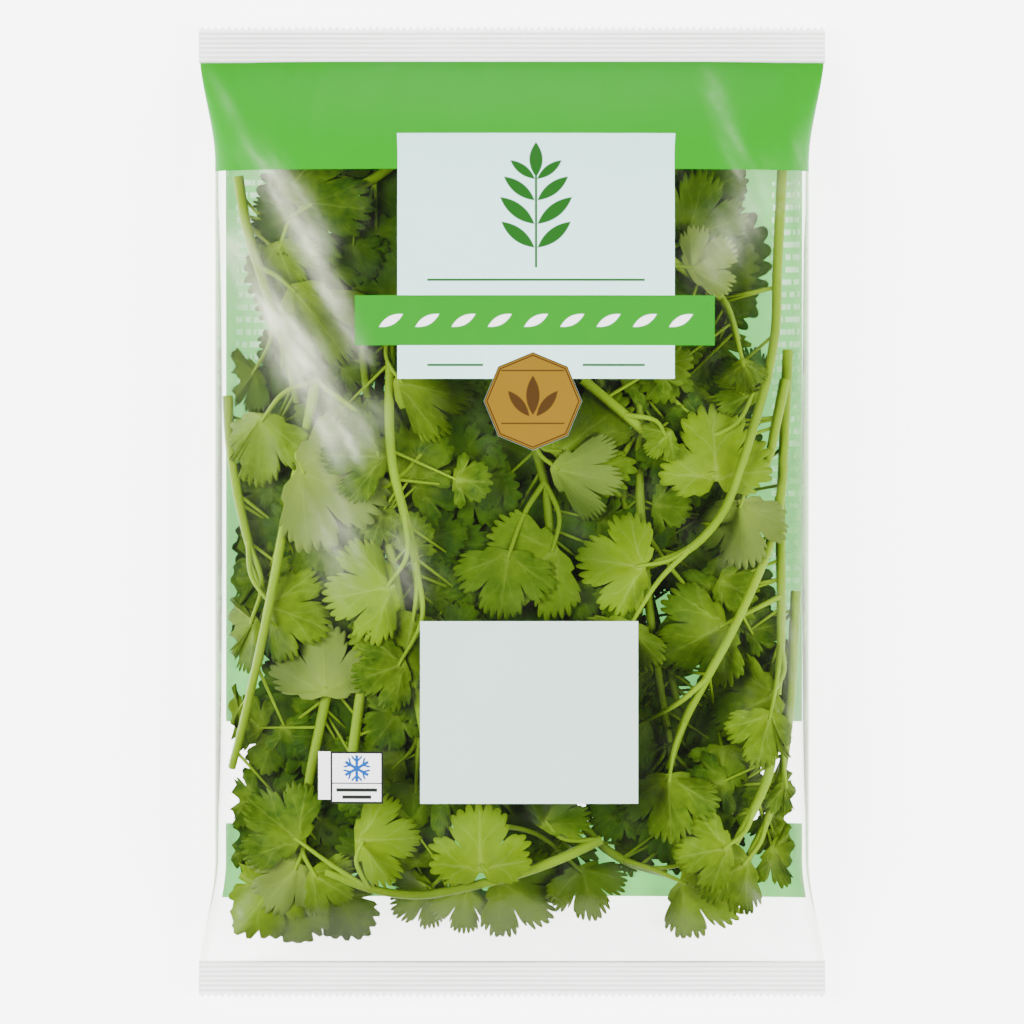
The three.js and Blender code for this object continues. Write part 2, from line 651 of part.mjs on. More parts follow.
// Sprigs against the front film, lowest first. A stem is a list of [x, y] points from its cut end
// to its tip. A leaflet is [x, y, heading, length, spread]: where its stalk joins it, the way it
// points in degrees from +X, and how far its fan opens to each side.
const FRONT_SPRIGS = [
  { stem: [[-46, -40], [-49, -54], [-52, -69], [-54, -84], [-55, -95]], leaflets: [
    [-55, -91, 228, 15, 108], [-51, -93, -32, 12, 78], [-48, -46, 92, 18, 95]] },
  { stem: [[-4, -30], [-7, -52], [-8, -74], [-8, -92]], leaflets: [
    [-21, -97, 215, 12, 90], [-12, -97, 268, 12, 85], [-3, -95, -35, 17, 88], [18, -92, -75, 14, 90]] },
  { stem: [[10, -62], [16, -76], [24, -87], [40, -93]], leaflets: [
    [44, -91, 28, 15, 88], [44, -95, -28, 18, 92]] },
  { stem: [[23, -84], [12, -89], [0, -93], [-12, -96], [-25, -98], [-38, -96], [-48, -92]], leaflets: [
    [-8, -91, 92, 17, 125], [-39, -84, 2, 16, 85], [-55, -84, 140, 17, 90], [8, -80, 60, 14, 90]] },
  { stem: [[-27, 92], [-38, 84], [-50, 81], [-60, 81]], leaflets: [
    [-60, 80, -6, 25, 80], [-56, 76, 205, 12, 85], [-60, 68, -68, 13, 85]] },
  { stem: [[-70, 86], [-68, 74], [-63, 57], [-58, 42], [-55, 28]], leaflets: [
    [-56, 57, -52, 24, 52], [-66, 36, 215, 12, 90]] },
  { stem: [[-73, 30], [-72, 15], [-69, -2], [-64, -20]], leaflets: [
    [-62, -24, -22, 17, 88], [-66, -28, 212, 15, 75]] },
  { stem: [[-50, 34], [-53, 18], [-58, -3], [-62, -24], [-67, -47], [-72, -66]], leaflets: [
    [-64, 24, -95, 18, 84], [-54, 10, -20, 24, 96], [-33, 14, 178, 16, 82]] },
  { stem: [[-31, 48], [-31, 32], [-31, 16], [-28, 2], [-25, -10], [-24, -25]], leaflets: [
    [-25, -27, 255, 20, 80], [-29, 33, -12, 20, 62], [-28, -39, 200, 14, 90], [-31, -19, 192, 18, 90]] },
  { stem: [[2, 32], [6, 16], [9, 5], [10, -6], [12, -17]], leaflets: [
    [12, 15, 38, 23, 98], [11, 11, -12, 18, 55], [11, -10, 215, 20, 92], [-1, -11, 262, 17, 92]] },
  { stem: [[73, -20], [72, -40], [71, -54], [69, -68], [65, -80], [60, -90]], leaflets: [
    [60, -90, 212, 15, 88], [70, -70, -70, 9, 90]] },
  { stem: [[67, -57], [66, -66], [62, -76], [57, -85]], leaflets: [[55, -86, 190, 14, 90]] },
  { stem: [[69, 4], [69, -14], [69, -33], [68, -47]], leaflets: [
    [67, -47, 205, 18, 92], [66, -52, 255, 14, 88], [54, -29, 208, 19, 95]] },
  { stem: [[71, 42], [70, 22], [69, 5], [67, -5], [62, -18], [56, -31], [49, -44], [44, -54], [40, -66]],
    leaflets: [[40, -68, -88, 17, 88], [34, -54, 200, 14, 90]] },
  { stem: [[70, 34], [67, 20], [64, 10], [58, 4]], leaflets: [[58, 2, -84, 17, 92]] },
  { stem: [[18, 34], [30, 24], [42, 14], [52, 8]], leaflets: [
    [52, 9, 92, 19, 128], [63, 31, 148, 13, 85], [40, 20, 225, 8, 88]] },
  { stem: [[70, 97], [69, 80], [68, 62], [67, 43], [62, 23], [57, 8], [52, -3], [43, -11], [34, -14]],
    leaflets: [[33, -14, 172, 17, 105], [30, -29, 250, 15, 90]] },
  { stem: [[36, 68], [44, 62], [50, 58], [55, 53], [58, 44]], leaflets: [
    [45, 70, 75, 19, 78], [46, 62, 30, 13, 88], [59, 38, -85, 8, 80]] },
];

fillFloor();
const random = seededRandom(INNER_SEED);
const innerSprigs = Array.from({ length: INNER_SPRIGS }, (_, i) => sprig(innerSprig(i, random), INNER_TEETH));
const frontSprigs = FRONT_SPRIGS.map((row) => sprig(row, FRONT_TEETH));

const part = new THREE.Group();
const film = new THREE.MeshStandardMaterial({
  color: FILM_COLOUR, roughness: 0.2, metalness: 0, transparent: true, opacity: 0.3 });
part.add(meshOf("film_bag", filmBag(), film));
[...innerSprigs, ...frontSprigs].forEach((solid, i) => {
  const herb = new THREE.MeshStandardMaterial({ color: HERB_COLOUR, roughness: 0.6, metalness: 0 });
  part.add(meshOf(`sprig_${String(i + 1).padStart(2, "0")}`, solid, herb));
});

export default part;
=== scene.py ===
import math
import random

import bpy
import numpy as np
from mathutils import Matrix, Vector, noise
from mathutils.bvhtree import BVHTree


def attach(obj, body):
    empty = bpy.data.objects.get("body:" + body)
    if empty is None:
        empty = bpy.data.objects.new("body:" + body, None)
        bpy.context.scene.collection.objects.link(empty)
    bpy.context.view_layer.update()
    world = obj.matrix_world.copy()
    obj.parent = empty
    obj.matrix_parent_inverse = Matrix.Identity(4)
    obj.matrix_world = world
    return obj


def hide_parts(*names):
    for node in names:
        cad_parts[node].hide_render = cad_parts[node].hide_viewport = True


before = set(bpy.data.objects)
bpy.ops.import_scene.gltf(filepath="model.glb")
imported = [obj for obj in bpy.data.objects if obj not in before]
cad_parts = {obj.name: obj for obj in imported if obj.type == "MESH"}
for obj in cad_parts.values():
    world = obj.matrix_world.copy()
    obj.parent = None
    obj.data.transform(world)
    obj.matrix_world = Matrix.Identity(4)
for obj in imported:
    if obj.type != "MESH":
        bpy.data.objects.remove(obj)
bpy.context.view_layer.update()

# Lengths are in millimetres, apart from those of the lights, the camera and the bumps, which are in
# metres. Noise scales are per metre.
MM = 0.001

# ---- Film bag: the filled tube ---------------------------------------------------------------
# One sheet of clear film, wrapped round the herbs into a tube and printed on its outside before
# it was made up. The fill holds it round, and its ends are pinched flat by the crimped seals.
BAG_LENGTH = 250.0
BODY_WIDTH = 152.4
END_WIDTH = 161.4
BAG_DEPTH = 40.0
SEAL_LENGTH = 9.0
SEAL_HEIGHT = 8.0
SEAL_EDGE = BAG_LENGTH / 2 - SEAL_LENGTH
CRIMP_HALF = 0.75
TAPER = 40.0
FLARE = 27.0
SIDE_SHARE = 0.42
FLAT_HALF = 42.0
FLAT_ROUNDNESS = 2.5
FLAT_END = SEAL_EDGE - TAPER
TOP_ROUNDNESS = 2.7

# Print, as left, right, bottom and top in millimetres from the middle of the bag's front.
BAND_START = 87.2
LABEL = (-29.1, 41.3, 33.8, 96.6)
STRIPE = (-39.9, 51.5, 42.3, 55.0)
PANEL = (-23.3, 32.0, -73.8, -27.7)
NOTE = (-46.1, -32.7, -74.0, -60.8)
TAB = (-49.2, -46.1, -73.0, -60.8)
BADGE = (-7.3, 17.9, 15.5, 40.7)
FRONT_AREAS = (LABEL, STRIPE, PANEL, NOTE, TAB, BADGE)
BACK_SIDES = (-73.6, 74.6)
BACK_PANEL = (-53.9, 100.0)
BACK_FOOT = (-99.2, -80.0)
(CLEAR, GREEN_BAND, GREY_LABEL, GREEN_STRIPE, GREY_PANEL, WHITE_NOTE, WHITE_TAB, GOLD_BADGE,
 BACK_PRINT) = range(9)
FRONT_INKS = (
    (STRIPE, GREEN_STRIPE),
    (LABEL, GREY_LABEL),
    (PANEL, GREY_PANEL),
    (NOTE, WHITE_NOTE),
    (TAB, WHITE_TAB),
)

# The lapped seam along the back: its edges, how far it stands out of the back, and how wide the
# film's step up from each edge is.
LAP = (-5.0, 6.0)
LAP_STEP = 0.3
LAP_RAMPS = (0.8, 0.2)
LAP_REACH = 0.1  # the lap takes in points this near to its edges

# Folds that the fill pulls into the front film: from, to, half width, height, and how much white is
# painted along them as a highlight, standing in for the lights' reflection on the fold.
FOLDS = [
    ((-66, 92), (-50, 68), 4.2, 0.7, 0.60),
    ((-55, 74), (-38, 40), 2.6, 0.8, 0.60),
    ((-71, 68), (-52, 36), 4.6, 0.9, 0.70),
    ((-58, 46), (-43, 17), 5.0, 0.6, 0.70),
    ((-79, 115), (-64, 88), 2.0, 1.2, 0.20),
    ((51, 112), (58, 87), 2.6, 0.7, 0.45),
    ((66, 86), (50, 62), 5.0, 0.5, 0.30),
    ((74, 98), (72, 78), 1.8, 0.7, 0.25),
    ((-36, 24), (-46, 16), 5.0, 0.5, 0.35),
    ((-46, 4), (-42, -18), 6.0, 0.5, 0.22),
    ((-28, -5), (-26, -20), 4.0, 0.4, 0.18),
    ((60, -96), (72, -112), 2.0, 0.9, 0.15),
    ((-66, -96), (-74, -112), 2.0, 0.9, 0.15),
    ((70, -20), (73, -70), 2.2, 0.4, 0.15),
]
FOLD_TURN = -61.0  # degrees from +X in which most of them run
FOLD_WAVE = (0.15, 0.85)  # shares of half a wave between which a fold rises and falls

# Small gathers in the film at each crimped end. What has two numbers is drawn between them.
PLEATS_PER_END = 26
PLEAT_SEED = 4
PLEAT_MIDDLE = 76
PLEAT_HALVES = (0.8, 2.4)
PLEAT_LENGTHS = (7, 26)
PLEAT_HEIGHTS = (0.25, 0.8)
PLEAT_LEAN = 0.25
PLEAT_START = 3  # a pleat rises over this distance from the crimp
BACK_RELIEF = 0.5  # the back's pleats are this share of the front's height
SIDE_FADE = 6  # power by which the relief fades towards the tube's sides

# How white the film is, from 0 to 1: a faint mist all over, painted highlights streaked along the
# folds, and a painted reflection where the film turns under at the tube's sides.
MIST = 0.012
MIST_POWER = 4
MIST_SCALE = 0.12
MIST_SEED = 1.0
SHEEN_STREAKS = 0.75  # share of a fold's painted highlight that is streaked
STREAK_ACROSS = 0.42
STREAK_ALONG = 0.09
STREAK_SEED = 5.0
CLOUD_FALL = 0.9
CLOUD_STEP = 2.1
CLOUD_OCTAVES = 4
CLOUD_CONTRAST = 0.6
FRONT_CREASE = 0.002
BACK_CREASE = 0.02
SIDE_SHEEN = 0.14
SIDE_START = 0.955  # share of the half width where that painted side reflection starts
MOST_WHITE = 0.9

FRONT_COLUMNS = 120
BACK_COLUMNS = 60
TUBE_ROWS = 200


def lerp(a, b, t):
    return a + (b - a) * t


def ease(t):
    t = np.clip(t, 0, 1)
    return t * t * (3 - 2 * t)


def fullness(y):
    return np.sin(math.pi / 2 * np.clip((SEAL_EDGE - np.abs(y)) / TAPER, 0, 1))


def half_width(y):
    flare = ease((np.abs(y) - (SEAL_EDGE - FLARE)) / (FLARE + SEAL_LENGTH / 2))
    return lerp(BODY_WIDTH, END_WIDTH, flare) / 2


def film_height(share, y, upper):
    """Height of the film at a share of the half width, on its upper or lower side."""
    half = half_width(y)
    top = lerp(SEAL_HEIGHT + CRIMP_HALF, BAG_DEPTH, fullness(y))
    base = lerp(SEAL_HEIGHT - CRIMP_HALF, 0, fullness(y))
    side = lerp(base, top, SIDE_SHARE)
    if upper:
        return side + (top - side) * (1 - np.abs(share) ** TOP_ROUNDNESS) ** (1 / TOP_ROUNDNESS)
    along = np.clip(np.abs(y) / FLAT_END, 0, 1)
    flat = FLAT_HALF * (1 - along**FLAT_ROUNDNESS) ** (1 / FLAT_ROUNDNESS)
    curl = np.clip((np.abs(share) * half - flat) / (half - flat), 0, 1)
    return side - (side - base) * np.sqrt(1 - curl**2)


def snapped(values, edges):
    """The sorted values, with the nearest one moved onto each edge."""
    values = np.array(values)
    for edge in edges:
        values[np.argmin(np.abs(values - edge))] = edge
    return values


def near_fold(x, y, start, end, half):
    """How near a place is to a fold: 1 on its crest, fading out beside it and at its ends."""
    run = np.array(end, float) - np.array(start, float)
    along = ((x - start[0]) * run[0] + (y - start[1]) * run[1]) / (run @ run)
    held = np.clip(along, 0, 1)
    away = np.hypot(x - start[0] - held * run[0], y - start[1] - held * run[1])
    return np.sin(math.pi * lerp(*FOLD_WAVE, held)) * np.exp(-((away / half) ** 2))


def pleats(x, y, upper):
    """Small gathers that run in from both crimped ends and die out."""
    draw = random.Random(PLEAT_SEED + upper)
    total = np.zeros_like(x)
    for end in (-1, 1):
        for _ in range(PLEATS_PER_END):
            middle = draw.uniform(-PLEAT_MIDDLE, PLEAT_MIDDLE)
            half = draw.uniform(*PLEAT_HALVES)
            length = draw.uniform(*PLEAT_LENGTHS)
            height = draw.uniform(*PLEAT_HEIGHTS) * draw.choice((-1, 1))
            lean = draw.uniform(-PLEAT_LEAN, PLEAT_LEAN)
            inward = SEAL_EDGE - end * y
            fade = np.exp(-((inward / length) ** 2)) * ease(inward / PLEAT_START)
            total += height * fade * np.exp(-(((x - middle - lean * inward) / half) ** 2))
    return total


def cloud(x, y, across, along, seed):
    """Noise from about 0 to 1, with its own scales across and along the folds."""
    turn = math.radians(FOLD_TURN)
    u = (x * math.cos(turn) + y * math.sin(turn)) * along
    v = (y * math.cos(turn) - x * math.sin(turn)) * across
    octaves = (CLOUD_FALL, CLOUD_STEP, CLOUD_OCTAVES)
    heights = [noise.fractal(Vector((a, b, seed)), *octaves) for a, b in zip(u.ravel(), v.ravel())]
    return np.clip(0.5 + CLOUD_CONTRAST * np.array(heights).reshape(x.shape), 0, 1)


def inside(x, y, area):
    left, right, bottom, top = area
    return (x > left) & (x < right) & (y > bottom) & (y < top)


def new_piece(name, points, faces):
    mesh = bpy.data.meshes.new(name)
    mesh.from_pydata((np.asarray(points) * MM).tolist(), [], faces)
    mesh.polygons.foreach_set("use_smooth", [True] * len(mesh.polygons))
    piece = bpy.data.objects.new(name, mesh)
    bpy.context.scene.collection.objects.link(piece)
    return piece


def ink_at(x, y, front):
    """The ink at a place on the tube, measured as if the tube were as wide as its middle."""
    if not front:
        beside = BACK_SIDES[0] < x < BACK_SIDES[1]
        printed = BACK_PANEL[0] < y < BACK_PANEL[1] or BACK_FOOT[0] < y < BACK_FOOT[1]
        return BACK_PRINT if beside and printed else CLEAR
    if inside(x, y, BADGE) and not inside(x, y, STRIPE):
        return GOLD_BADGE
    for area, ink in FRONT_INKS:
        if inside(x, y, area):
            return ink
    return GREEN_BAND if y > BAND_START else CLEAR


def set_attributes(piece, **named):
    for name, values in named.items():
        piece.data.attributes.new(name, "FLOAT", "POINT").data.foreach_set("value", np.ravel(values))


def film_tube():
    """The tube's mesh. Its rows and columns follow the print's edges, so each face has one ink."""
    rows = SEAL_EDGE * np.sin(np.linspace(-math.pi / 2, math.pi / 2, TUBE_ROWS))
    row_edges = [BAND_START, *[edge for area in FRONT_AREAS for edge in area[2:]], *BACK_PANEL, *BACK_FOOT]
    rows = snapped(rows, row_edges)
    body = BODY_WIDTH / 2
    front_edges = [edge / body for area in FRONT_AREAS for edge in area[:2]]
    front = snapped(np.cos(np.linspace(0, math.pi, FRONT_COLUMNS + 1)), front_edges)
    lap_edges = (LAP[0] - LAP_RAMPS[0], *LAP, LAP[1] + LAP_RAMPS[1])
    back_edges = [edge / body for edge in (*BACK_SIDES, *lap_edges)]
    back = snapped(-np.cos(np.linspace(0, math.pi, BACK_COLUMNS + 1)), back_edges)[1:-1]
    shares = np.concatenate([front, back])
    upper = np.arange(len(shares)) < len(front)
    y, share = np.meshgrid(rows, shares, indexing="ij")
    x = share * half_width(y)
    z = np.empty_like(x)
    loose = 1 - np.abs(share) ** SIDE_FADE

    front_x, front_y = x[:, upper], y[:, upper]
    relief = pleats(front_x, front_y, 1)
    front_mist_and_sheen = MIST * cloud(front_x, front_y, MIST_SCALE, MIST_SCALE, MIST_SEED) ** MIST_POWER
    sheen_streaks = 1 - SHEEN_STREAKS + SHEEN_STREAKS * cloud(front_x, front_y, STREAK_ACROSS, STREAK_ALONG, STREAK_SEED) ** 2
    # Each fold gets a painted highlight: white laid into the film where the lights would shine on it.
    for start, end, half, height, sheen in FOLDS:
        crest = near_fold(front_x, front_y, start, end, half)
        relief = relief + height * crest
        front_mist_and_sheen = front_mist_and_sheen + sheen * crest * sheen_streaks
    z[:, upper] = film_height(share[:, upper], front_y, True) + relief * loose[:, upper]

    back_share, back_y = share[:, ~upper], y[:, ~upper]
    sag = BACK_RELIEF * pleats(x[:, ~upper], back_y, 0) * loose[:, ~upper]
    back_x = back_share * body
    in_lap = (back_x > LAP[0] - LAP_REACH) & (back_x < LAP[1] + LAP_REACH)
    z[:, ~upper] = np.maximum(film_height(back_share, back_y, False) + sag, 0) + LAP_STEP * ~in_lap

    # The film's own mist, with the painted fold highlights on the front.
    crease = np.full_like(x, BACK_CREASE)
    crease[:, upper] = FRONT_CREASE + front_mist_and_sheen
    # Painted reflection: more white where the film turns under at the tube's sides.
    haze = crease + SIDE_SHEEN * ease((np.abs(share) - SIDE_START) / (1 - SIDE_START))
    count = len(shares)
    faces, inks = [], []
    for row in range(TUBE_ROWS - 1):
        middle_y = (rows[row] + rows[row + 1]) / 2
        for column in range(count):
            following = (column + 1) % count
            here, there = row * count, (row + 1) * count
            faces.append((here + column, there + column, there + following, here + following))
            middle_x = (shares[column] + shares[following]) / 2 * body
            inks.append(ink_at(middle_x, middle_y, column < len(front) - 1))
    ring = list(range(count))
    faces += [tuple(ring), tuple((TUBE_ROWS - 1) * count + i for i in reversed(ring))]
    inks += [CLEAR, CLEAR]
    piece = new_piece("film_tube", np.stack([x, y, z], -1).reshape(-1, 3), faces)
    piece.data.polygons.foreach_set("material_index", inks)
    set_attributes(piece, crease=np.clip(crease, 0, MOST_WHITE), haze=np.clip(haze, 0, MOST_WHITE))
    return piece


class Wire:
    """A number that varies over a surface: one socket of a node tree, with arithmetic."""

    def __init__(self, recipe, socket):
        self.recipe = recipe
        self.socket = socket

    def maths(self, operation, *values):
        return self.recipe.wire("ShaderNodeMath", {"operation": operation}, dict(enumerate(values)))

    def __add__(self, other):
        return self.maths("ADD", self, other)

    def __sub__(self, other):
        return self.maths("SUBTRACT", self, other)

    def __rsub__(self, other):
        return self.maths("SUBTRACT", other, self)

    def __mul__(self, other):
        return self.maths("MULTIPLY", self, other)

    def __truediv__(self, other):
        return self.maths("DIVIDE", self, other)

    def __pow__(self, other):
        return self.maths("POWER", self, other)

    def __abs__(self):
        return self.maths("ABSOLUTE", self)

    def least(self, other):
        return self.maths("MINIMUM", self, other)

    def most(self, other):
        return self.maths("MAXIMUM", self, other)

    def fraction(self):
        return self.maths("FRACT", self)

    def above(self, edge, soft):
        """0 below an edge and 1 above it, blurred over a soft width."""
        ends = {1: edge - soft / 2, 2: edge + soft / 2}
        return self.recipe.wire("ShaderNodeMapRange", values={0: self, **ends})

    __radd__ = __add__
    __rmul__ = __mul__


class Recipe:
    """A node tree and the one call that adds a node to it."""

    def __init__(self, tree):
        self.tree = tree

    def node(self, kind, settings=None, values=None):
        node = self.tree.nodes.new(kind)
        for key, value in (settings or {}).items():
            setattr(node, key, value)
        for key, value in (values or {}).items():
            if isinstance(value, Wire):
                self.tree.links.new(value.socket, node.inputs[key])
            elif isinstance(value, bpy.types.NodeSocket):
                self.tree.links.new(value, node.inputs[key])
            else:
                node.inputs[key].default_value = value
        return node

    def wire(self, kind, settings=None, values=None, output=0):
        return Wire(self, self.node(kind, settings, values).outputs[output])


SOFT_GLOSS = 1.25  # index of refraction: low, so that it shines softly


class Finish(Recipe):
    """A procedural material."""

    def __init__(self, name):
        self.material = bpy.data.materials.new(name)
        self.material.use_nodes = True
        super().__init__(self.material.node_tree)
        self.tree.nodes.clear()

    def place(self):
        """Object coordinates in millimetres, across and along."""
        coordinates = self.node("ShaderNodeTexCoord").outputs["Object"]
        parts = self.node("ShaderNodeSeparateXYZ", values={0: coordinates})
        return [Wire(self, parts.outputs[i]) * (1 / MM) for i in range(2)]

    def attribute(self, name):
        return self.wire("ShaderNodeAttribute", {"attribute_name": name}, output="Fac")

    def noise(self, scale, detail=2.0, stretch=(1, 1, 1)):
        """Cloudy noise from 0 to 1, with a scale given per metre."""
        coordinates = self.node("ShaderNodeTexCoord").outputs["Object"]
        mapped = self.node("ShaderNodeMapping", values={0: coordinates, 3: stretch}).outputs[0]
        return self.wire("ShaderNodeTexNoise", values={"Vector": mapped, "Scale": scale, "Detail": detail})

    def mix(self, share, a, b):
        """Colour a with a share of colour b over it."""
        return self.node("ShaderNodeMix", {"data_type": "RGBA"}, {0: share, 6: a, 7: b}).outputs[2]

    def bump(self, height, strength, distance):
        return self.node("ShaderNodeBump", values={
            "Height": height, "Strength": strength, "Distance": distance}).outputs[0]

    def body(self, colour, roughness, **more):
        values = {"Base Color": colour, "Roughness": roughness, "IOR": SOFT_GLOSS}
        return self.node("ShaderNodeBsdfPrincipled", values={**values, **more})

    def blend(self, share, under, over):
        return self.node("ShaderNodeMixShader", values={0: share, 1: under.outputs[0], 2: over.outputs[0]})

    def made(self, shader):
        self.node("ShaderNodeOutputMaterial", values={0: shader.outputs[0]})
        return self.material


FILM_GLOSS = 1.22
FILM_ROUGHNESS = 0.16
FILM_TINT = (0.97, 0.98, 0.97, 1)
MOST_SHOWN = 0.95  # the clear film never hides more than this of what is behind it
MARK_EDGE = 0.25  # width over which a leaf mark's edge fades
BAR_EDGE = 0.2
INK_GLOSS = 1.12
INK_ROUGHNESS = 0.4
INK_FADE = 0.8  # the ink's patches have this share of its brightness
INK_PATCHES = 0.3  # how much they show
INK_SHEEN = 0.3
MIST_AND_SHEEN_WHITE = (0.78, 0.83, 0.62, 1)
BAND_GREEN = (0.010, 0.222, 0.004, 1)
STRIPE_GREEN = (0.016, 0.190, 0.010, 1)
LABEL_GREY = (0.49, 0.79, 0.72, 1)
PANEL_GREY = (0.48, 0.62, 0.57, 1)
BACK_GREEN = (0.085, 0.420, 0.068, 1)
BACK_TINT = (0.32, 0.88, 0.30, 1)
BACK_PALE = (0.30, 0.62, 0.26, 1)
INK_WHITE = (0.86, 0.88, 0.86, 1)
INK_DARK = (0.012, 0.014, 0.012, 1)
INK_BROWN = (0.045, 0.022, 0.006, 1)
INK_BLUE = (0.003, 0.058, 0.26, 1)
INK_GOLD = (0.150, 0.083, 0.007, 1)
GOLD_LIGHT = (0.24, 0.14, 0.016, 1)
INK_LEAF = (0.012, 0.075, 0.010, 1)


def see_through(finish):
    """Clear film: it mirrors at a slant, and shows in dull white its mist and the highlights painted along
    its folds and sides.
    """
    mirror = finish.wire("ShaderNodeFresnel", values={"IOR": FILM_GLOSS})
    shown = (finish.attribute("haze") + mirror).least(MOST_SHOWN)
    clear = finish.node("ShaderNodeBsdfTransparent", values={0: FILM_TINT})
    # This white carries the film's mist and its painted highlights.
    film = finish.body(MIST_AND_SHEEN_WHITE, FILM_ROUGHNESS, Metallic=mirror / shown)
    return finish.blend(shown, clear, film)


def turned(x, y, centre, turn):
    """A place measured from a centre, along and across a line turned by some degrees."""
    c, s = math.cos(math.radians(turn)), math.sin(math.radians(turn))
    along = (x - centre[0]) * c + (y - centre[1]) * s
    across = (y - centre[1]) * c - (x - centre[0]) * s
    return along, across


def leaf_mark(x, y, centre, turn, length, half):
    """A plain pointed leaf shape, of a half length and a half width."""
    along, across = turned(x, y, centre, turn)
    return 1 - (abs(across) + along * along * (half / length**2)).above(half, MARK_EDGE)


def bar_mark(x, y, area, soft=BAR_EDGE):
    left, right, bottom, top = area
    across = abs(x - (left + right) / 2) - (right - left) / 2
    return 1 - across.most(abs(y - (bottom + top) / 2) - (top - bottom) / 2).above(0.0, soft)


def most_of(marks):
    whole = marks[0]
    for mark in marks[1:]:
        whole = whole.most(mark)
    return whole


def printed(name, ground, marks=lambda x, y: ()):
    """Ink on the film: a ground colour, with marks of other inks over it."""
    finish = Finish(name)
    x, y = finish.place()
    patchy = finish.noise(scale=60.0, detail=3.0)
    colour = finish.mix(patchy * INK_PATCHES, ground, tuple(INK_FADE * part for part in ground))
    for mark, ink in marks(x, y):
        colour = finish.mix(mark, colour, ink)
    # Painted highlight: the white streaks along the film's folds, laid over the ink.
    colour = finish.mix(finish.attribute("crease") * INK_SHEEN, colour, MIST_AND_SHEEN_WHITE)
    normal = finish.bump(finish.noise(scale=700.0), strength=0.04, distance=0.0002)
    return finish.made(finish.body(colour, INK_ROUGHNESS, IOR=INK_GLOSS, Normal=normal))


# The label's leafy twig and its two rules.
TWIG_MIDDLE = 6.1
TWIG_HALF = 0.3
TWIG_ENDS = (62.0, 88.0)
TWIG_TIP = (89.6, 4.6, 1.7)  # height, half length and half width of the leaf at its tip
TWIG_PAIRS = ((67.0, 5.4), (73.0, 5.6), (79.0, 5.0), (84.5, 4.0))  # height and half length
TWIG_LEAN = 52
PAIR_ASIDE = 0.85  # from the twig to a leaf's middle, as a share of the leaf's half length
PAIR_RISE = 0.62
PAIR_HALF = 0.3
RULE_ENDS = (-21.5, 33.7)
RULES = ((58.6, 59.2), (37.0, 37.6))


def label_marks(x, y):
    """A sprig of plain leaves between two rules."""
    stalk = bar_mark(x, y, (TWIG_MIDDLE - TWIG_HALF, TWIG_MIDDLE + TWIG_HALF, *TWIG_ENDS))
    leaves = [leaf_mark(x, y, (TWIG_MIDDLE, TWIG_TIP[0]), 90, *TWIG_TIP[1:])]
    for height, length in TWIG_PAIRS:
        for side in (-1, 1):
            middle = (TWIG_MIDDLE + side * length * PAIR_ASIDE, height + length * PAIR_RISE)
            leaves.append(leaf_mark(x, y, middle, 90 - side * TWIG_LEAN, length, length * PAIR_HALF))
    rules = [bar_mark(x, y, (*RULE_ENDS, *rule)) for rule in RULES]
    return [(most_of([stalk, *leaves, *rules]), INK_LEAF)]


# The green stripe's row of small leaves.
ROW_STEP = 9.2
ROW_MIDDLE = 48.6
ROW_MARGIN = 4
ROW_LEAF = (28, 3.4, 1.1)  # turn, half length and half width


def stripe_marks(x, y):
    """A row of small white leaves."""
    half = ROW_STEP / 2
    local = ((x - (STRIPE[0] + half)) * (1 / ROW_STEP)).fraction() * ROW_STEP - half
    kept = bar_mark(x, y, (STRIPE[0] + ROW_MARGIN, STRIPE[1] - ROW_MARGIN, *STRIPE[2:]))
    return [(leaf_mark(local, y, (0.0, ROW_MIDDLE), *ROW_LEAF) * kept, INK_WHITE)]


# The small note: its rule, the line under its star, the star, and two bars as inset, bottom, top.
NOTE_RULE = 0.5
NOTE_SHELF = (5.0, 5.3)
NOTE_BARS = ((1.5, 3.0, 3.9), (3.0, 1.2, 2.1))
NOTE_EDGE = 0.1
STAR_DROP = 4.3  # from the note's top to the star's middle
STAR_REACH = 3.2
STAR_EDGE = 0.12
ARM_HALF = 0.38
ARM_ROUND = 0.2
BARB_HALF = 0.36
BARB_FOOT = 0.55  # where a barb leaves its arm, as a share of the arm
BARB_REACH = 0.3


def note_marks(x, y):
    """A black rule round the note, a plain six-armed frost star, and two bars."""
    left, right, bottom, top = NOTE
    clear = (left + NOTE_RULE, right - NOTE_RULE, bottom + NOTE_RULE, top - NOTE_RULE)
    dark = [1 - bar_mark(x, y, clear, NOTE_EDGE)]
    dark.append(bar_mark(x, y, (left, right, bottom + NOTE_SHELF[0], bottom + NOTE_SHELF[1]), NOTE_EDGE))
    for inset, low, high in NOTE_BARS:
        dark.append(bar_mark(x, y, (left + inset, right - inset, bottom + low, bottom + high), NOTE_EDGE))
    star = []
    for turn in (30, 90, 150):
        along, across = turned(x, y, ((left + right) / 2, top - STAR_DROP), turn)
        along, across = abs(along), abs(across)
        arm = across.most(along - STAR_REACH + ARM_ROUND)
        barb = abs(along - across - STAR_REACH * BARB_FOOT).most(across - STAR_REACH * BARB_REACH)
        star += [1 - arm.above(ARM_HALF, STAR_EDGE), 1 - barb.above(BARB_HALF, STAR_EDGE)]
    return [(most_of(star), INK_BLUE), (most_of(dark), INK_DARK)]


# The gold badge, its dark rim and ring, three leaves and two rules.
BADGE_RADIUS = 11.5
BADGE_EDGE = 0.12
BADGE_RIM = 0.3
BADGE_RING = (0.9, 0.55)  # from the badge's edge in to the ring's two sides
BADGE_LEAF = (1.5, 5.0, 1.7)  # rise above the middle, half length and half width
SIDE_LEAF = (-0.6, 4.2, 1.3)
SIDE_LEAF_ASIDE = 3.6
SIDE_LEAF_LEAN = 40
BADGE_RULES = (-5.8, 7.6)
BADGE_RULE_HALF = 8
BADGE_RULE_WIDTH = 0.35
BADGE_ROUGHNESS = 0.34
GOLD_PATCHES = 0.25
LABEL_EDGE = 0.05


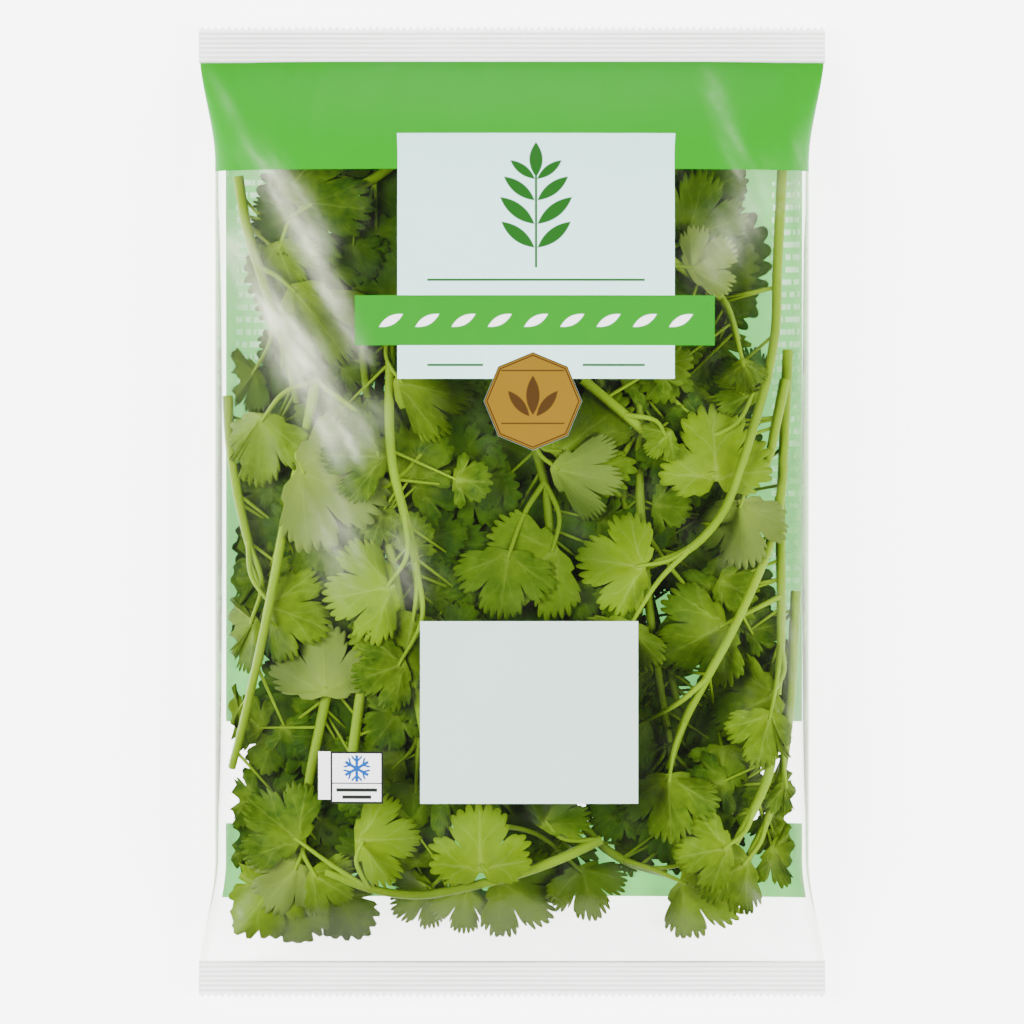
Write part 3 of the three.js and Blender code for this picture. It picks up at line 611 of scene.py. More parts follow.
def badge_finish():
    """A gold eight-sided badge with a dark rim, over clear film and the label's lower edge."""
    finish = Finish("gold_badge")
    x, y = finish.place()
    middle_x, middle_y = (BADGE[0] + BADGE[1]) / 2, (BADGE[2] + BADGE[3]) / 2
    aside, above = abs(x - middle_x), abs(y - middle_y)
    turns = [math.radians(turn) for turn in (22.5, 67.5)]
    away = most_of([aside * math.cos(turn) + above * math.sin(turn) for turn in turns])
    whole = 1 - away.above(BADGE_RADIUS, BADGE_EDGE)
    inner, outer = [away.above(BADGE_RADIUS - inset, BADGE_EDGE) for inset in BADGE_RING]
    dark = [inner * (1 - outer), away.above(BADGE_RADIUS - BADGE_RIM, BADGE_EDGE)]
    for side, (rise, length, half) in ((0, BADGE_LEAF), (-1, SIDE_LEAF), (1, SIDE_LEAF)):
        centre = (middle_x + side * SIDE_LEAF_ASIDE, middle_y + rise)
        dark.append(leaf_mark(x, y, centre, 90 - side * SIDE_LEAF_LEAN, length, half))
    for rise in BADGE_RULES:
        low = middle_y + rise
        ends = (middle_x - BADGE_RULE_HALF, middle_x + BADGE_RULE_HALF)
        dark.append(bar_mark(x, y, (*ends, low, low + BADGE_RULE_WIDTH)))
    colour = finish.mix(finish.noise(scale=90.0) * GOLD_PATCHES, INK_GOLD, GOLD_LIGHT)
    colour = finish.mix(most_of(dark), colour, INK_BROWN)
    colour = finish.mix(whole, LABEL_GREY, colour)
    under_label = bar_mark(x, y, LABEL, LABEL_EDGE)
    ink = finish.body(colour, BADGE_ROUGHNESS)
    return finish.made(finish.blend(whole.most(under_label), see_through(finish), ink))


# The back's print: one paler field, and fields of short bars in rows, as left, right, bottom, top.
PALE_FIELD = (BACK_SIDES[0], -58.0, 64.8, 77.7)
PALE_EDGE = 0.6
ROW_FIELDS = ((-71, -62, 30, 87), (-38, -30, 75, 87), (67, 74, -33, 85), (47, 66, -34, -23))
ROW_PITCH = 3.2
ROW_SHARES = (0.28, 0.72)  # a bar's bottom and top, as shares of the pitch
ROW_EDGE = 0.08
GAP_RATE = 0.95  # how closely the gaps between the bars follow each other
GAP_SHARE = 0.44
GAP_EDGE = 0.05
BACK_PATCHES = 0.15
BACK_ROUGHNESS = 0.35
BACK_CLEARNESS = 0.16  # share of the light that comes through the print


def back_finish():
    """Pale green print on the bag's back, with rows of bars in white and one paler field."""
    finish = Finish("back_print")
    x, y = finish.place()
    colour = finish.mix(bar_mark(x, y, PALE_FIELD, PALE_EDGE), BACK_GREEN, BACK_PALE)
    colour = finish.mix(finish.noise(scale=25.0) * BACK_PATCHES, colour, BACK_PALE)
    line = y * (1 / ROW_PITCH)
    low, high = [line.fraction().above(share, ROW_EDGE) for share in ROW_SHARES]
    spot = finish.node("ShaderNodeCombineXYZ", values={0: x * GAP_RATE, 1: line.maths("FLOOR", line)})
    gaps = finish.wire("ShaderNodeTexNoise", values={"Vector": spot.outputs[0], "Scale": 1.0, "Detail": 0.0})
    fields = most_of([bar_mark(x, y, field) for field in ROW_FIELDS])
    rows = low * (1 - high) * gaps.above(GAP_SHARE, GAP_EDGE) * fields
    colour = finish.mix(rows, colour, INK_WHITE)
    normal = finish.bump(finish.noise(scale=500.0), strength=0.05, distance=0.0002)
    ink = finish.body(colour, BACK_ROUGHNESS, Normal=normal)
    clear = finish.node("ShaderNodeBsdfTransparent", values={0: BACK_TINT})
    return finish.made(finish.blend(BACK_CLEARNESS, ink, clear))


def clear_finish():
    finish = Finish("clear_film")
    return finish.made(see_through(finish))


film_piece = film_tube()
for made in (
    clear_finish(),
    printed("green_band", BAND_GREEN),
    printed("grey_label", LABEL_GREY, label_marks),
    printed("green_stripe", STRIPE_GREEN, stripe_marks),
    printed("grey_panel", PANEL_GREY),
    printed("frost_note", INK_WHITE, note_marks),
    printed("white_tab", INK_WHITE),
    badge_finish(),
    back_finish(),
):
    film_piece.data.materials.append(made)
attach(film_piece, "root")
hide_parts("film_bag")

# ---- Film bag: the crimped ends ----------------------------------------------------------------
# Front and back film welded together between ribbed jaws, so five ribs run across each end. The
# jaws' knife cuts the outer edge into a row of small teeth.
RIBS = 5
RIB_RISE = 0.35
RIB_MARGIN = 1.8
RIB_END = 1.2
RIB_SET_IN = 12  # how fast the ribs, the weld and the ripples set in from the tube outwards
WELD_SET_IN = 6
RIPPLE_SET_IN = 3
WELD_HALF = 0.12  # half the thickness of the welded film
CRIMP_OVERLAP = 0.3
TEETH_PER_END = 93
TOOTH_DEPTH = 0.9
RIPPLES = ((0.12, 41, 1), (0.2, 9, 2))  # height, rate across the bag, and shift at each end
CRIMP_ROWS = 24
COLUMNS_PER_TOOTH = 4
CRIMP_VALLEY = (0.99, 0.99, 0.98, 1)
CRIMP_RIB_SHADE = (0.50, 0.52, 0.49, 1)
CRIMP_ROUGHNESS = 0.25
CRIMP_WHITE = 0.42  # share of the light that the weld stops at the least
CRIMP_PATCHES = 0.3
RIB_SHADE_POWER = 1.5  # narrows the painted shade along each rib
CREST_EDGE = 0.3


def crimped_ends():
    columns = TEETH_PER_END * COLUMNS_PER_TOOTH + 1
    across = np.linspace(-1, 1, columns)
    phase = (np.arange(columns) / COLUMNS_PER_TOOTH) % 1
    outer = BAG_LENGTH / 2 - TOOTH_DEPTH + TOOTH_DEPTH * (1 - np.abs(2 * phase - 1))
    points, faces = [], []
    for end in (-1, 1):
        for side in (1, -1):
            first = len(points)
            for share in np.linspace(0, 1, CRIMP_ROWS):
                y = lerp(SEAL_EDGE - CRIMP_OVERLAP, outer, share)
                in_ribs = np.clip((y - SEAL_EDGE - RIB_MARGIN) / (SEAL_LENGTH - RIB_MARGIN - RIB_END), 0, 1)
                wave = RIB_RISE * np.sin(2 * math.pi * RIBS * in_ribs) * ease(in_ribs * RIB_SET_IN)
                ripple = sum(height * np.sin(across * rate + shift * end) for height, rate, shift in RIPPLES)
                half = lerp(CRIMP_HALF, WELD_HALF, ease(share * WELD_SET_IN))
                z = SEAL_HEIGHT + wave + ripple * ease(share * RIPPLE_SET_IN) + side * half
                points.extend(np.stack([across * END_WIDTH / 2, end * y, z], -1).tolist())
            for row in range(CRIMP_ROWS - 1):
                for column in range(columns - 1):
                    a = first + row * columns + column
                    face = (a, a + 1, a + 1 + columns, a + columns)
                    faces.append(face if side * end > 0 else face[::-1])
        top, bottom = first - CRIMP_ROWS * columns, first
        rim = list(range(columns))
        rim += [row * columns + columns - 1 for row in range(1, CRIMP_ROWS)]
        rim += [(CRIMP_ROWS - 1) * columns + column for column in range(columns - 2, -1, -1)]
        rim += [row * columns for row in range(CRIMP_ROWS - 2, 0, -1)]
        for a, b in zip(rim, rim[1:] + rim[:1]):
            face = (top + a, bottom + a, bottom + b, top + b)
            faces.append(face if end > 0 else face[::-1])
    return new_piece("crimped_ends", points, faces)


def crimp_finish():
    """Whitish welded film, with painted shade as a grey line along each rib, patchy where the weld is
    uneven.
    """
    finish = Finish("crimped_film")
    patchy = finish.noise(scale=120.0, detail=3.0, stretch=(0.3, 1, 1))
    y = finish.place()[1]
    ribs = ((abs(y) - (SEAL_EDGE + RIB_MARGIN)) * (RIBS / (SEAL_LENGTH - RIB_MARGIN - RIB_END))).fraction()
    ribbed = 1 - abs(y).above(BAG_LENGTH / 2 - RIB_END, CREST_EDGE)
    # Painted shade: a darker grey line along each rib.
    crest = (1 - abs(ribs - 0.5) * 2.0) ** RIB_SHADE_POWER
    colour = finish.mix(crest * ribbed, CRIMP_VALLEY, CRIMP_RIB_SHADE)
    clear = finish.node("ShaderNodeBsdfTransparent", values={0: FILM_TINT})
    film = finish.body(colour, CRIMP_ROUGHNESS, Normal=finish.bump(patchy, strength=0.15, distance=0.0006))
    return finish.made(finish.blend(CRIMP_WHITE + patchy * CRIMP_PATCHES, clear, film))


crimped_piece = crimped_ends()
crimped_piece.data.materials.append(crimp_finish())
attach(crimped_piece, "root")
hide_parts("film_bag")


# ---- Coriander sprigs ----------------------------------------------------------------------------
# Cut stems with side stalks and fan-shaped, lobed and toothed leaflets, laid loose on each other.
# Each sprig grew as one piece; its blades are thin and veined, its stems ribbed and juicy.
STEM_RADIUS = 1.5
STEM_THICKNESS = 1.8 * STEM_RADIUS  # of its five-sided solid, about
STEM_STEP = 13  # spacing of the corners along a stem's solid
STALK_HALF = 0.7
BLADE = 0.7  # thickness of a leaflet's solid
STALK_SETBACK = 7
STALK_NECK = 1.2
ROOT_RISE = 0.6
WALL_MARGIN = 5
END_MARGIN = 13

# Inner sprigs, laid by a rule. What has two numbers lies between them.
INNER_SPRIGS = 9
INNER_LENGTH = 150
INNER_SEED = 5
GOLDEN = 0.618  # spaces them evenly across the bag
INNER_MIDDLE = 8
INNER_START = 76
INNER_ACROSS = (-50, 42)
INNER_SWING = 26
INNER_BOW = 24
INNER_STEM_SIDES = (-54, 46)
INNER_LEAF_SIDES = (-47, 46)
INNER_LEAF_ENDS = (-76, 96)
SIDE_LEAFLETS = ((0.34, 1), (0.5, -1), (0.66, 1), (0.82, -1))  # share of the stem, side
SIDE_TURN = (55, 75)
SIDE_TURN_BACK = 20
SIDE_AWAY = (12, 18)
SIDE_LENGTH = (20, 26)
SIDE_SPREAD = 92
TIP_TURN = 75
TIP_AWAY = 6
TIP_LENGTH = 19
TIP_SPREAD = 85
RANDOM_FACTOR = 1664525
RANDOM_STEP = 1013904223
RANDOM_RANGE = 2**32


def seeded_random(seed):
    """A row of numbers between 0 and 1, from a linear congruential generator."""
    state = seed
    while True:
        state = (state * RANDOM_FACTOR + RANDOM_STEP) % RANDOM_RANGE
        yield state / RANDOM_RANGE


def clamp(value, low, high):
    return min(max(value, low), high)


def beside(x, y, turn, away):
    return x + away * math.cos(math.radians(turn)), y + away * math.sin(math.radians(turn))


def inner_sprig(index, draw):
    """Stem and leaflets of one inner sprig. Every second one points the other way."""
    way = 1 if index % 2 else -1
    heading = way * 90 + (next(draw) - 0.5) * INNER_SWING
    start_x = lerp(*INNER_ACROSS, (index * GOLDEN) % 1)
    aim = math.radians(heading)
    bow = (next(draw) - 0.5) * INNER_BOW

    def place(share):
        x = start_x + share * INNER_LENGTH * math.cos(aim) + bow * math.sin(math.pi * share)
        y = INNER_MIDDLE - way * INNER_START + share * INNER_LENGTH * math.sin(aim)
        return clamp(x, *INNER_STEM_SIDES), y

    leaflets = []
    for share, side in SIDE_LEAFLETS:
        turn = heading + side * lerp(*SIDE_TURN, next(draw))
        hub = beside(*place(share), turn, lerp(*SIDE_AWAY, next(draw)))
        length = lerp(*SIDE_LENGTH, next(draw))
        leaflets.append([*hub, turn - side * SIDE_TURN_BACK, length, SIDE_SPREAD])
    for side in (-1, 0, 1):
        turn = heading + side * TIP_TURN
        leaflets.append([*beside(*place(1), turn, TIP_AWAY), turn, TIP_LENGTH, TIP_SPREAD])
    for leaflet in leaflets:
        leaflet[0] = clamp(leaflet[0], *INNER_LEAF_SIDES)
        leaflet[1] = clamp(leaflet[1], *INNER_LEAF_ENDS)
    return [place(share) for share in (0, 0.25, 0.5, 0.75, 1)], leaflets


# Front sprigs, lowest first: the stem's [x, y] points, then each leaflet as x, y, heading, length
# and spread, in millimetres and degrees, and its colour from deep green at 0 to fresh at 1. A pale
# leaflet lies with its underside up.
PALE = -1.0
DEEP = 0.0
FRONT_SPRIGS = [
    ([(-46, -40), (-49, -54), (-52, -69), (-54, -84), (-55, -95)],
     [(-55, -91, 228, 15, 108, PALE), (-51, -93, -32, 12, 78, 0.6), (-48, -46, 92, 18, 95, PALE)]),
    ([(-4, -30), (-7, -52), (-8, -74), (-8, -92)],
     [(-21, -97, 215, 12, 90, 0.9), (-12, -97, 268, 12, 85, 1.0), (-3, -95, -35, 17, 88, 0.9),
      (18, -92, -75, 14, 90, 0.8)]),
    ([(10, -62), (16, -76), (24, -87), (40, -93)],
     [(44, -91, 28, 15, 88, 0.9), (44, -95, -28, 18, 92, 0.9)]),
    ([(23, -84), (12, -89), (0, -93), (-12, -96), (-25, -98), (-38, -96), (-48, -92)],
     [(-8, -91, 92, 17, 125, 1.0), (-39, -84, 2, 16, 85, 1.0), (-55, -84, 140, 17, 90, 0.25),
      (8, -80, 60, 14, 90, 0.5)]),
    ([(-27, 92), (-38, 84), (-50, 81), (-60, 81)],
     [(-60, 80, -6, 25, 80, 0.2), (-56, 76, 205, 12, 85, DEEP), (-60, 68, -68, 13, 85, 0.5)]),
    ([(-70, 86), (-68, 74), (-63, 57), (-58, 42), (-55, 28)],
     [(-56, 57, -52, 24, 52, 0.8), (-66, 36, 215, 12, 90, 0.4)]),
    ([(-73, 30), (-72, 15), (-69, -2), (-64, -20)],
     [(-62, -24, -22, 17, 88, 0.6), (-66, -28, 212, 15, 75, 0.5)]),
    ([(-50, 34), (-53, 18), (-58, -3), (-62, -24), (-67, -47), (-72, -66)],
     [(-64, 24, -95, 18, 84, 0.7), (-54, 10, -20, 24, 96, PALE), (-33, 14, 178, 16, 82, 0.3)]),
    ([(-31, 48), (-31, 32), (-31, 16), (-28, 2), (-25, -10), (-24, -25)],
     [(-25, -27, 255, 20, 80, 0.6), (-29, 33, -12, 20, 62, 0.7), (-28, -39, 200, 14, 90, 0.3),
      (-31, -19, 192, 18, 90, 1.0)]),
    ([(2, 32), (6, 16), (9, 5), (10, -6), (12, -17)],
     [(12, 15, 38, 23, 98, 0.7), (11, 11, -12, 18, 55, PALE), (11, -10, 215, 20, 92, 0.9),
      (-1, -11, 262, 17, 92, 0.5)]),
    ([(73, -20), (72, -40), (71, -54), (69, -68), (65, -80), (60, -90)],
     [(60, -90, 212, 15, 88, 0.5), (70, -70, -70, 9, 90, 0.3)]),
    ([(67, -57), (66, -66), (62, -76), (57, -85)], [(55, -86, 190, 14, 90, 0.7)]),
    ([(69, 4), (69, -14), (69, -33), (68, -47)],
     [(67, -47, 205, 18, 92, 0.4), (66, -52, 255, 14, 88, 0.6), (54, -29, 208, 19, 95, 0.4)]),
    ([(71, 42), (70, 22), (69, 5), (67, -5), (62, -18), (56, -31), (49, -44), (44, -54), (40, -66)],
     [(40, -68, -88, 17, 88, 0.4), (34, -54, 200, 14, 90, 0.3)]),
    ([(70, 34), (67, 20), (64, 10), (58, 4)], [(58, 2, -84, 17, 92, PALE)]),
    ([(18, 34), (30, 24), (42, 14), (52, 8)],
     [(52, 9, 92, 19, 128, 1.0), (63, 31, 148, 13, 85, 0.3), (40, 20, 225, 8, 88, 0.4)]),
    ([(70, 97), (69, 80), (68, 62), (67, 43), (62, 23), (57, 8), (52, -3), (43, -11), (34, -14)],
     [(33, -14, 172, 17, 105, 1.0), (30, -29, 250, 15, 90, 0.5)]),
    ([(36, 68), (44, 62), (50, 58), (55, 53), (58, 44)],
     [(45, 70, 75, 19, 78, 0.4), (46, 62, 30, 13, 88, PALE), (59, 38, -85, 8, 80, 0.4)]),
]


# How the frame's solids are read, so that the finer pieces keep their places and heights.
CORNER_NEAR = 0.1
CORNER_TALL = 1.5  # corners at one place that are further apart than this aren't one blade's
PLUMB_TOP = 60.0
PLUMB_HITS = 40
PLUMB_STEP = 0.01
THINNEST = 0.6  # shares of the expected thickness
THICKEST = 1.5
STEM_END = 0.004  # a stem is read this share of its length in from its ends
MIDDLE_HEIGHT = 10.0  # of a leaflet whose solid can't be read
ROUTE_SAMPLES = 201


def bowed_route(points):
    """The stem's own curve through its points, as a function of its length's share, and its length."""
    points = [np.array(point, float) for point in points]
    padded = [2 * points[0] - points[1], *points, 2 * points[-1] - points[-2]]

    def at(t):
        place = min(t * (len(points) - 1), len(points) - 1 - 1e-9)
        index = int(place)
        w = place - index
        p0, p1, p2, p3 = padded[index : index + 4]
        d0, d1, d2 = [np.sum((b - a) ** 2) ** 0.25 for a, b in ((p0, p1), (p1, p2), (p2, p3))]
        t1 = ((p1 - p0) / d0 - (p2 - p0) / (d0 + d1) + (p2 - p1) / d1) * d1
        t2 = ((p2 - p1) / d1 - (p3 - p1) / (d1 + d2) + (p3 - p2) / d2) * d1
        return p1 + t1 * w + (3 * (p2 - p1) - 2 * t1 - t2) * w**2 + (2 * (p1 - p2) + t1 + t2) * w**3

    ts = np.linspace(0, 1, ROUTE_SAMPLES)
    places = np.array([at(t) for t in ts])
    lengths = np.concatenate([[0], np.cumsum(np.linalg.norm(np.diff(places, axis=0), axis=1))])
    return (lambda share: at(np.interp(share * lengths[-1], lengths, ts))), lengths[-1]


class Solid:
    """A sprig's solid in the frame, asked how high its stems, stalks and blades lie."""

    def __init__(self, node):
        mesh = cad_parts[node].data
        self.points = np.array([vertex.co[:] for vertex in mesh.vertices]) / MM
        faces = [tuple(face.vertices) for face in mesh.polygons]
        self.tree = BVHTree.FromPolygons(self.points.tolist(), faces)

    def corner(self, x, y):
        """Middle height of the corners that stand at (x, y), or None."""
        near = self.points[np.hypot(self.points[:, 0] - x, self.points[:, 1] - y) < CORNER_NEAR, 2]
        return (near.min() + near.max()) / 2 if len(near) and np.ptp(near) < CORNER_TALL else None

    def layers(self, x, y):
        """Each solid stretch of the plumb line through (x, y), as its bottom and top."""
        heights, start = [], PLUMB_TOP
        while len(heights) < PLUMB_HITS:
            hit = self.tree.ray_cast(Vector((x, y, start)), Vector((0, 0, -1)))[0]
            if hit is None:
                break
            heights.append(hit.z)
            start = hit.z - PLUMB_STEP
        return [(low, high) for high, low in zip(heights[::2], heights[1::2])]

    def height(self, x, y, thickness, expected):
        """Middle of the stretch that is about this thick and closest to the expected height."""
        thinnest, thickest = THINNEST * thickness, THICKEST * thickness
        fit = [(low + high) / 2 for low, high in self.layers(x, y) if thinnest < high - low < thickest]
        if not fit:
            return expected
        return min(fit, key=lambda z: abs(z - expected)) if expected is not None else fit[0]


def smoothed(values, passes):
    for _ in range(passes):
        values = np.concatenate([values[:1], (values[:-2] + 2 * values[1:-1] + values[2:]) / 4, values[-1:]])
    return values


def stem_points(solid, stem):
    """The corners of a stem's middle line, with their heights read from the stem's solid."""
    at, length = bowed_route(stem)
    steps = max(3, math.floor(length / STEM_STEP + 0.5))
    points = []
    for i in range(steps + 1):
        x, y = at(clamp(i / steps, STEM_END, 1 - STEM_END))
        expected = points[-1][2] if points else None
        points.append([x, y, solid.height(x, y, STEM_THICKNESS, expected)])
    known = [p[2] for p in points if p[2] is not None]
    for point in points:
        point[2] = known[0] if point[2] is None else point[2]
    return np.array(points)


# Outline of a leaflet. Cuts and radii are shares of its reach, which is greatest at its tip.
LOBES = 3
SIDE_REACH = 0.64
TIP_SWELL = 0.36
SWELL_TURN = 0.8
TOOTH_CUT = 0.14
LOBE_CUT = 0.34
BASE_CORNER = 0.4
TOOTH_EASE = 0.4  # the notches between a lobe's teeth keep this share of their depth
TOOTH_ROUND = 0.4
SMALL_TEETH = 3  # for each tooth
SMALL_CUT = 0.12
SMALL_ROUND = 0.7
CUT_RATE = 5  # how fast the small cuts' depth varies from tooth to tooth
CUT_RANGE = 0.5
LOBE_ROUND = 0.2
LOBE_POWER = 1.5
EARS = ((26.0, 0.22), (12.0, 0.34))  # the blade's base behind its sides: turn and radius

# How the bag holds the leaflets back at its sides.
PRESS = 6.0  # a blade starts to give way this far from the wall
BLADE_MARGIN = 3.0
WALL_WAVE = 3.0
WAVE_RATE = 0.7
FILM_ROOM = 1.3  # kept to the film over and under a blade
MOST_SHARE = 0.99  # of the half width, out to which the film's height is asked for


def pressed(value, limit):
    """A place that a wall at plus or minus the limit holds back softly."""
    over = abs(value) - limit + PRESS
    return value if over < 0 else math.copysign(limit - PRESS + PRESS * math.tanh(over / PRESS), value)


def lobe_teeth(teeth):
    """The two notches, by tooth number, that part a leaflet into three lobes."""
    return teeth // LOBES, teeth - teeth // LOBES


def lobe_reach(number, teeth, spread):
    return SIDE_REACH + TIP_SWELL * math.cos(math.radians(SWELL_TURN * spread * (2 * number / teeth - 1)))


def notch(number, teeth, spread):
    """Radius of the notch before a tooth, or of the blade's corner at either end."""
    if number in (0, teeth):
        return BASE_CORNER
    cut = LOBE_CUT if number in lobe_teeth(teeth) else TOOTH_CUT
    return lobe_reach(number, teeth, spread) * (1 - cut)


def blade_rim(leaflet, teeth, per_tooth):
    """Fine outline of a leaflet: each point's tooth number, x, y and how far its lobe reaches there."""
    x, y, heading, length, spread = leaflet[:5]
    lobe_ends = (0, *lobe_teeth(teeth), teeth)
    rim = []
    for step in range(teeth * per_tooth + 1):
        number = step / per_tooth
        tooth = min(int(number), teeth - 1)
        within = number - tooth
        edge = tooth if within < 0.5 else tooth + 1
        tip = lobe_reach(tooth + 0.5, teeth, spread)
        low = notch(edge, teeth, spread)
        if edge not in lobe_ends:
            low = lerp(tip, low, TOOTH_EASE)
        radius = low + (tip - low) * math.sin(math.pi * within) ** TOOTH_ROUND
        cut = SMALL_CUT * (1 + CUT_RANGE * math.sin(CUT_RATE * number + heading))
        radius *= 1 - cut * (1 - abs(math.sin(SMALL_TEETH * math.pi * within)) ** SMALL_ROUND)
        lobe = np.interp(number, lobe_ends, range(LOBES + 1)) % 1
        radius *= 1 - LOBE_ROUND * (1 - math.sin(math.pi * lobe)) ** LOBE_POWER * (0 < number < teeth)
        rim.append((number, spread * (2 * number / teeth - 1), radius))
    before = [(0.0, -spread - turn, radius) for turn, radius in EARS]
    after = [(float(teeth), spread + turn, radius) for turn, radius in reversed(EARS)]
    placed = []
    for number, turn, radius in before + rim + after:
        px, py = beside(x, y, heading + turn, length * radius)
        py = pressed(py, BAG_LENGTH / 2 - END_MARGIN)
        wave = math.sin(WAVE_RATE * py) * math.sin(WAVE_RATE / 3 * py + x)
        wall = half_width(py) - BLADE_MARGIN - WALL_WAVE * abs(wave)
        placed.append((number, pressed(px, wall), py, length * lobe_reach(number, teeth, spread)))
    return placed


def corner_heights(solid, leaflet, teeth):
    """Heights of the solid leaflet's hub and of its rim at full reach, from its coarse corners."""
    x, y, heading, length, spread = leaflet[:5]
    hub = solid.corner(x, y)
    if hub is None:
        hub = solid.height(x, y, BLADE, None)
    coarse, shares = [], []
    for i in range(2 * teeth + 1):
        reach = lobe_reach(i / 2, teeth, spread)
        radius = reach if i % 2 else notch(i // 2, teeth, spread)
        px, py = beside(x, y, heading + spread * (i / teeth - 1), length * radius)
        limit = half_width(py) - WALL_MARGIN
        px = clamp(px, -limit, limit)
        py = clamp(py, END_MARGIN - BAG_LENGTH / 2, BAG_LENGTH / 2 - END_MARGIN)
        coarse.append(solid.corner(px, py))
        shares.append(radius / reach)
    known = [i for i, z in enumerate(coarse) if z is not None]
    if hub is None:
        hub = coarse[known[0]] if known else MIDDLE_HEIGHT
    if not known:
        return hub, np.full(2 * teeth + 1, hub)
    return hub, hub + np.interp(range(2 * teeth + 1), known, [(coarse[i] - hub) / shares[i] for i in known])


def inside_film(points):
    """The points, moved up or down where they would come through the film."""
    share = np.clip(points[:, 0] / half_width(points[:, 1]), -MOST_SHARE, MOST_SHARE)
    lowest = film_height(share, points[:, 1], False) + FILM_ROOM
    highest = film_height(share, points[:, 1], True) - FILM_ROOM
    points[:, 2] = np.clip(points[:, 2], lowest, highest)
    return points


# A leaflet's mesh, as its teeth, points along a tooth and rings from stalk to rim. The blade bends
# a little by chance, in millimetres between two numbers.
FRONT_MAKE = (9, 18, 6)
INNER_MAKE = (5, 15, 4)
SMALL_MAKE = (5, 9, 3)
SHEET_HALF = 0.13
NECK_HALF = 0.5
RING_SPACING = 0.85  # under 1, the rings are closer together at the rim
SMOOTHING = 14  # passes for each of a tooth's points
SMALL_BEND = 1.5
RIM_FLUTTER = (0.25, 0.9)
FLUTTER_RATE = 2.1
FLUTTER_PHASE = (0, 6.3)
CUPPING = (-0.5, 0.9)
LOBE_FOLD = (0.1, 0.4)
FOLD_END = 1.1
HUB_DATA = (LOBES / 2, 0.0, 0.0)  # lobe, reach and out where the stalk meets the blade
INNER_TONES_AND_SHADE = (0.0, 0.35)  # colours of the inner sprigs' leaflets: drawn at random, and kept dark as painted shade for their depth


def leaflet_surface(solid, leaflet, make, draw):
    """Points, faces and attributes of one face of a blade. A leaflet with a height lies level."""
    x, y, heading = leaflet[:3]
    teeth, per_tooth, rings = make
    if len(leaflet) > 6:
        hub = leaflet[6]
        coarse = hub + np.array([draw.uniform(-SMALL_BEND, SMALL_BEND) for _ in range(2 * teeth + 1)])
    else:
        hub, coarse = corner_heights(solid, leaflet, teeth)
    rim = blade_rim(leaflet, teeth, per_tooth)
    numbers = np.array([row[0] for row in rim])
    heights = smoothed(np.interp(numbers * 2, np.arange(2 * teeth + 1), coarse), per_tooth * SMOOTHING)
    ahead = np.array([math.cos(math.radians(heading)), math.sin(math.radians(heading))])
    left = np.array([-ahead[1], ahead[0]])
    right_neck, left_neck = [(x, y) - STALK_NECK * ahead + side * NECK_HALF * left for side in (-1, 1)]
    border = [(0.0, *right_neck, rim[0][3], hub)]
    border += [(*row, z) for row, z in zip(rim, heights)]
    border.append((float(teeth), *left_neck, rim[-1][3], hub))
    columns = len(border)
    wave, phase = draw.uniform(*RIM_FLUTTER), draw.uniform(*FLUTTER_PHASE)
    cup = draw.uniform(*CUPPING)
    fold = draw.uniform(*LOBE_FOLD)
    points, data = [(x, y, hub)], [HUB_DATA]
    for ring in range(1, rings + 1):
        share = (ring / rings) ** RING_SPACING
        for number, px, py, full, pz in border:
            radius = math.hypot(px - x, py - y) * share
            out = radius / full
            folded = math.sin(math.pi * min(out * FOLD_END, 1))
            quilt = -fold * math.cos(2 * LOBES * math.pi * number / teeth) * folded
            flutter = wave * (1 + math.sin(number * FLUTTER_RATE + phase)) * out**3
            z = lerp(hub, pz, out) + quilt + flutter + cup * (out**2 - out)
            points.append((lerp(x, px, share), lerp(y, py, share), z))
            data.append((number * LOBES / teeth, radius, out))
    points = inside_film(np.array(points)).tolist()
    faces = []
    for column in range(columns):
        following = (column + 1) % columns
        faces.append((0, 1 + column, 1 + following))
        for ring in range(rings - 1):
            a, b = 1 + ring * columns, 1 + (ring + 1) * columns
            faces.append((a + column, b + column, b + following, a + following))
    return points, faces, data, columns


def sprig_blades(name, solid, leaflets, make, draw):
    """All of a sprig's blades as one mesh, each closed: an upper and a lower face, and a thin edge."""
    points, faces, places, tone_at, upper_at = [], [], [], [], []
    for leaflet in leaflets:
        # An inner leaflet's drawn colour is kept dark as painted shade for its depth in the bag.
        tone = leaflet[5] if len(leaflet) > 5 else draw.uniform(*INNER_TONES_AND_SHADE)
        own_make = SMALL_MAKE if len(leaflet) > 6 else make
        top, top_faces, data, columns = leaflet_surface(solid, leaflet, own_make, draw)
        first, count = len(points), len(top)
        for side in (1, -1):
            points += [(px, py, pz + side * SHEET_HALF) for px, py, pz in top]
            places += data
            tone_at += [tone] * count
            upper_at += [1.0 if side == 1 else 0.0] * count
        faces += [tuple(first + i for i in face) for face in top_faces]
        faces += [tuple(first + count + i for i in reversed(face)) for face in top_faces]
        edge = first + count - columns
        for column in range(columns):
            a, b = edge + column, edge + (column + 1) % columns
            faces.append((a, a + count, b + count, b))
    piece = new_piece(name, points, faces)
    lobe_at, reach_at, out_at = zip(*places)
    set_attributes(piece, lobe=lobe_at, reach=reach_at, out=out_at, tone=tone_at, upper=upper_at)
    return piece


# Stems and stalks.
STALK_BEND = 0.6  # where a stalk bends, as a share of its way to the leaflet
STALK_BOW = 0.15  # how far it bows there
STALK_INTO_BLADE = 1.0
STALK_LIFT = 0.1  # so that a stalk runs out on its blade's upper face
STALK_SIDES = 10
STALK_RIBS = 5
RIB_HEIGHT = 0.05
STEM_TAPER = (0.92, 0.68)  # shares of a stem's radius, at its cut end and its tip
STALK_TAPER = (0.8, 0.45)
THIN_TAPER = (0.45, 0.3)
STEM_DETAIL = 2.5  # spacing of the points along a finished stem
STALK_DETAIL = 1.2


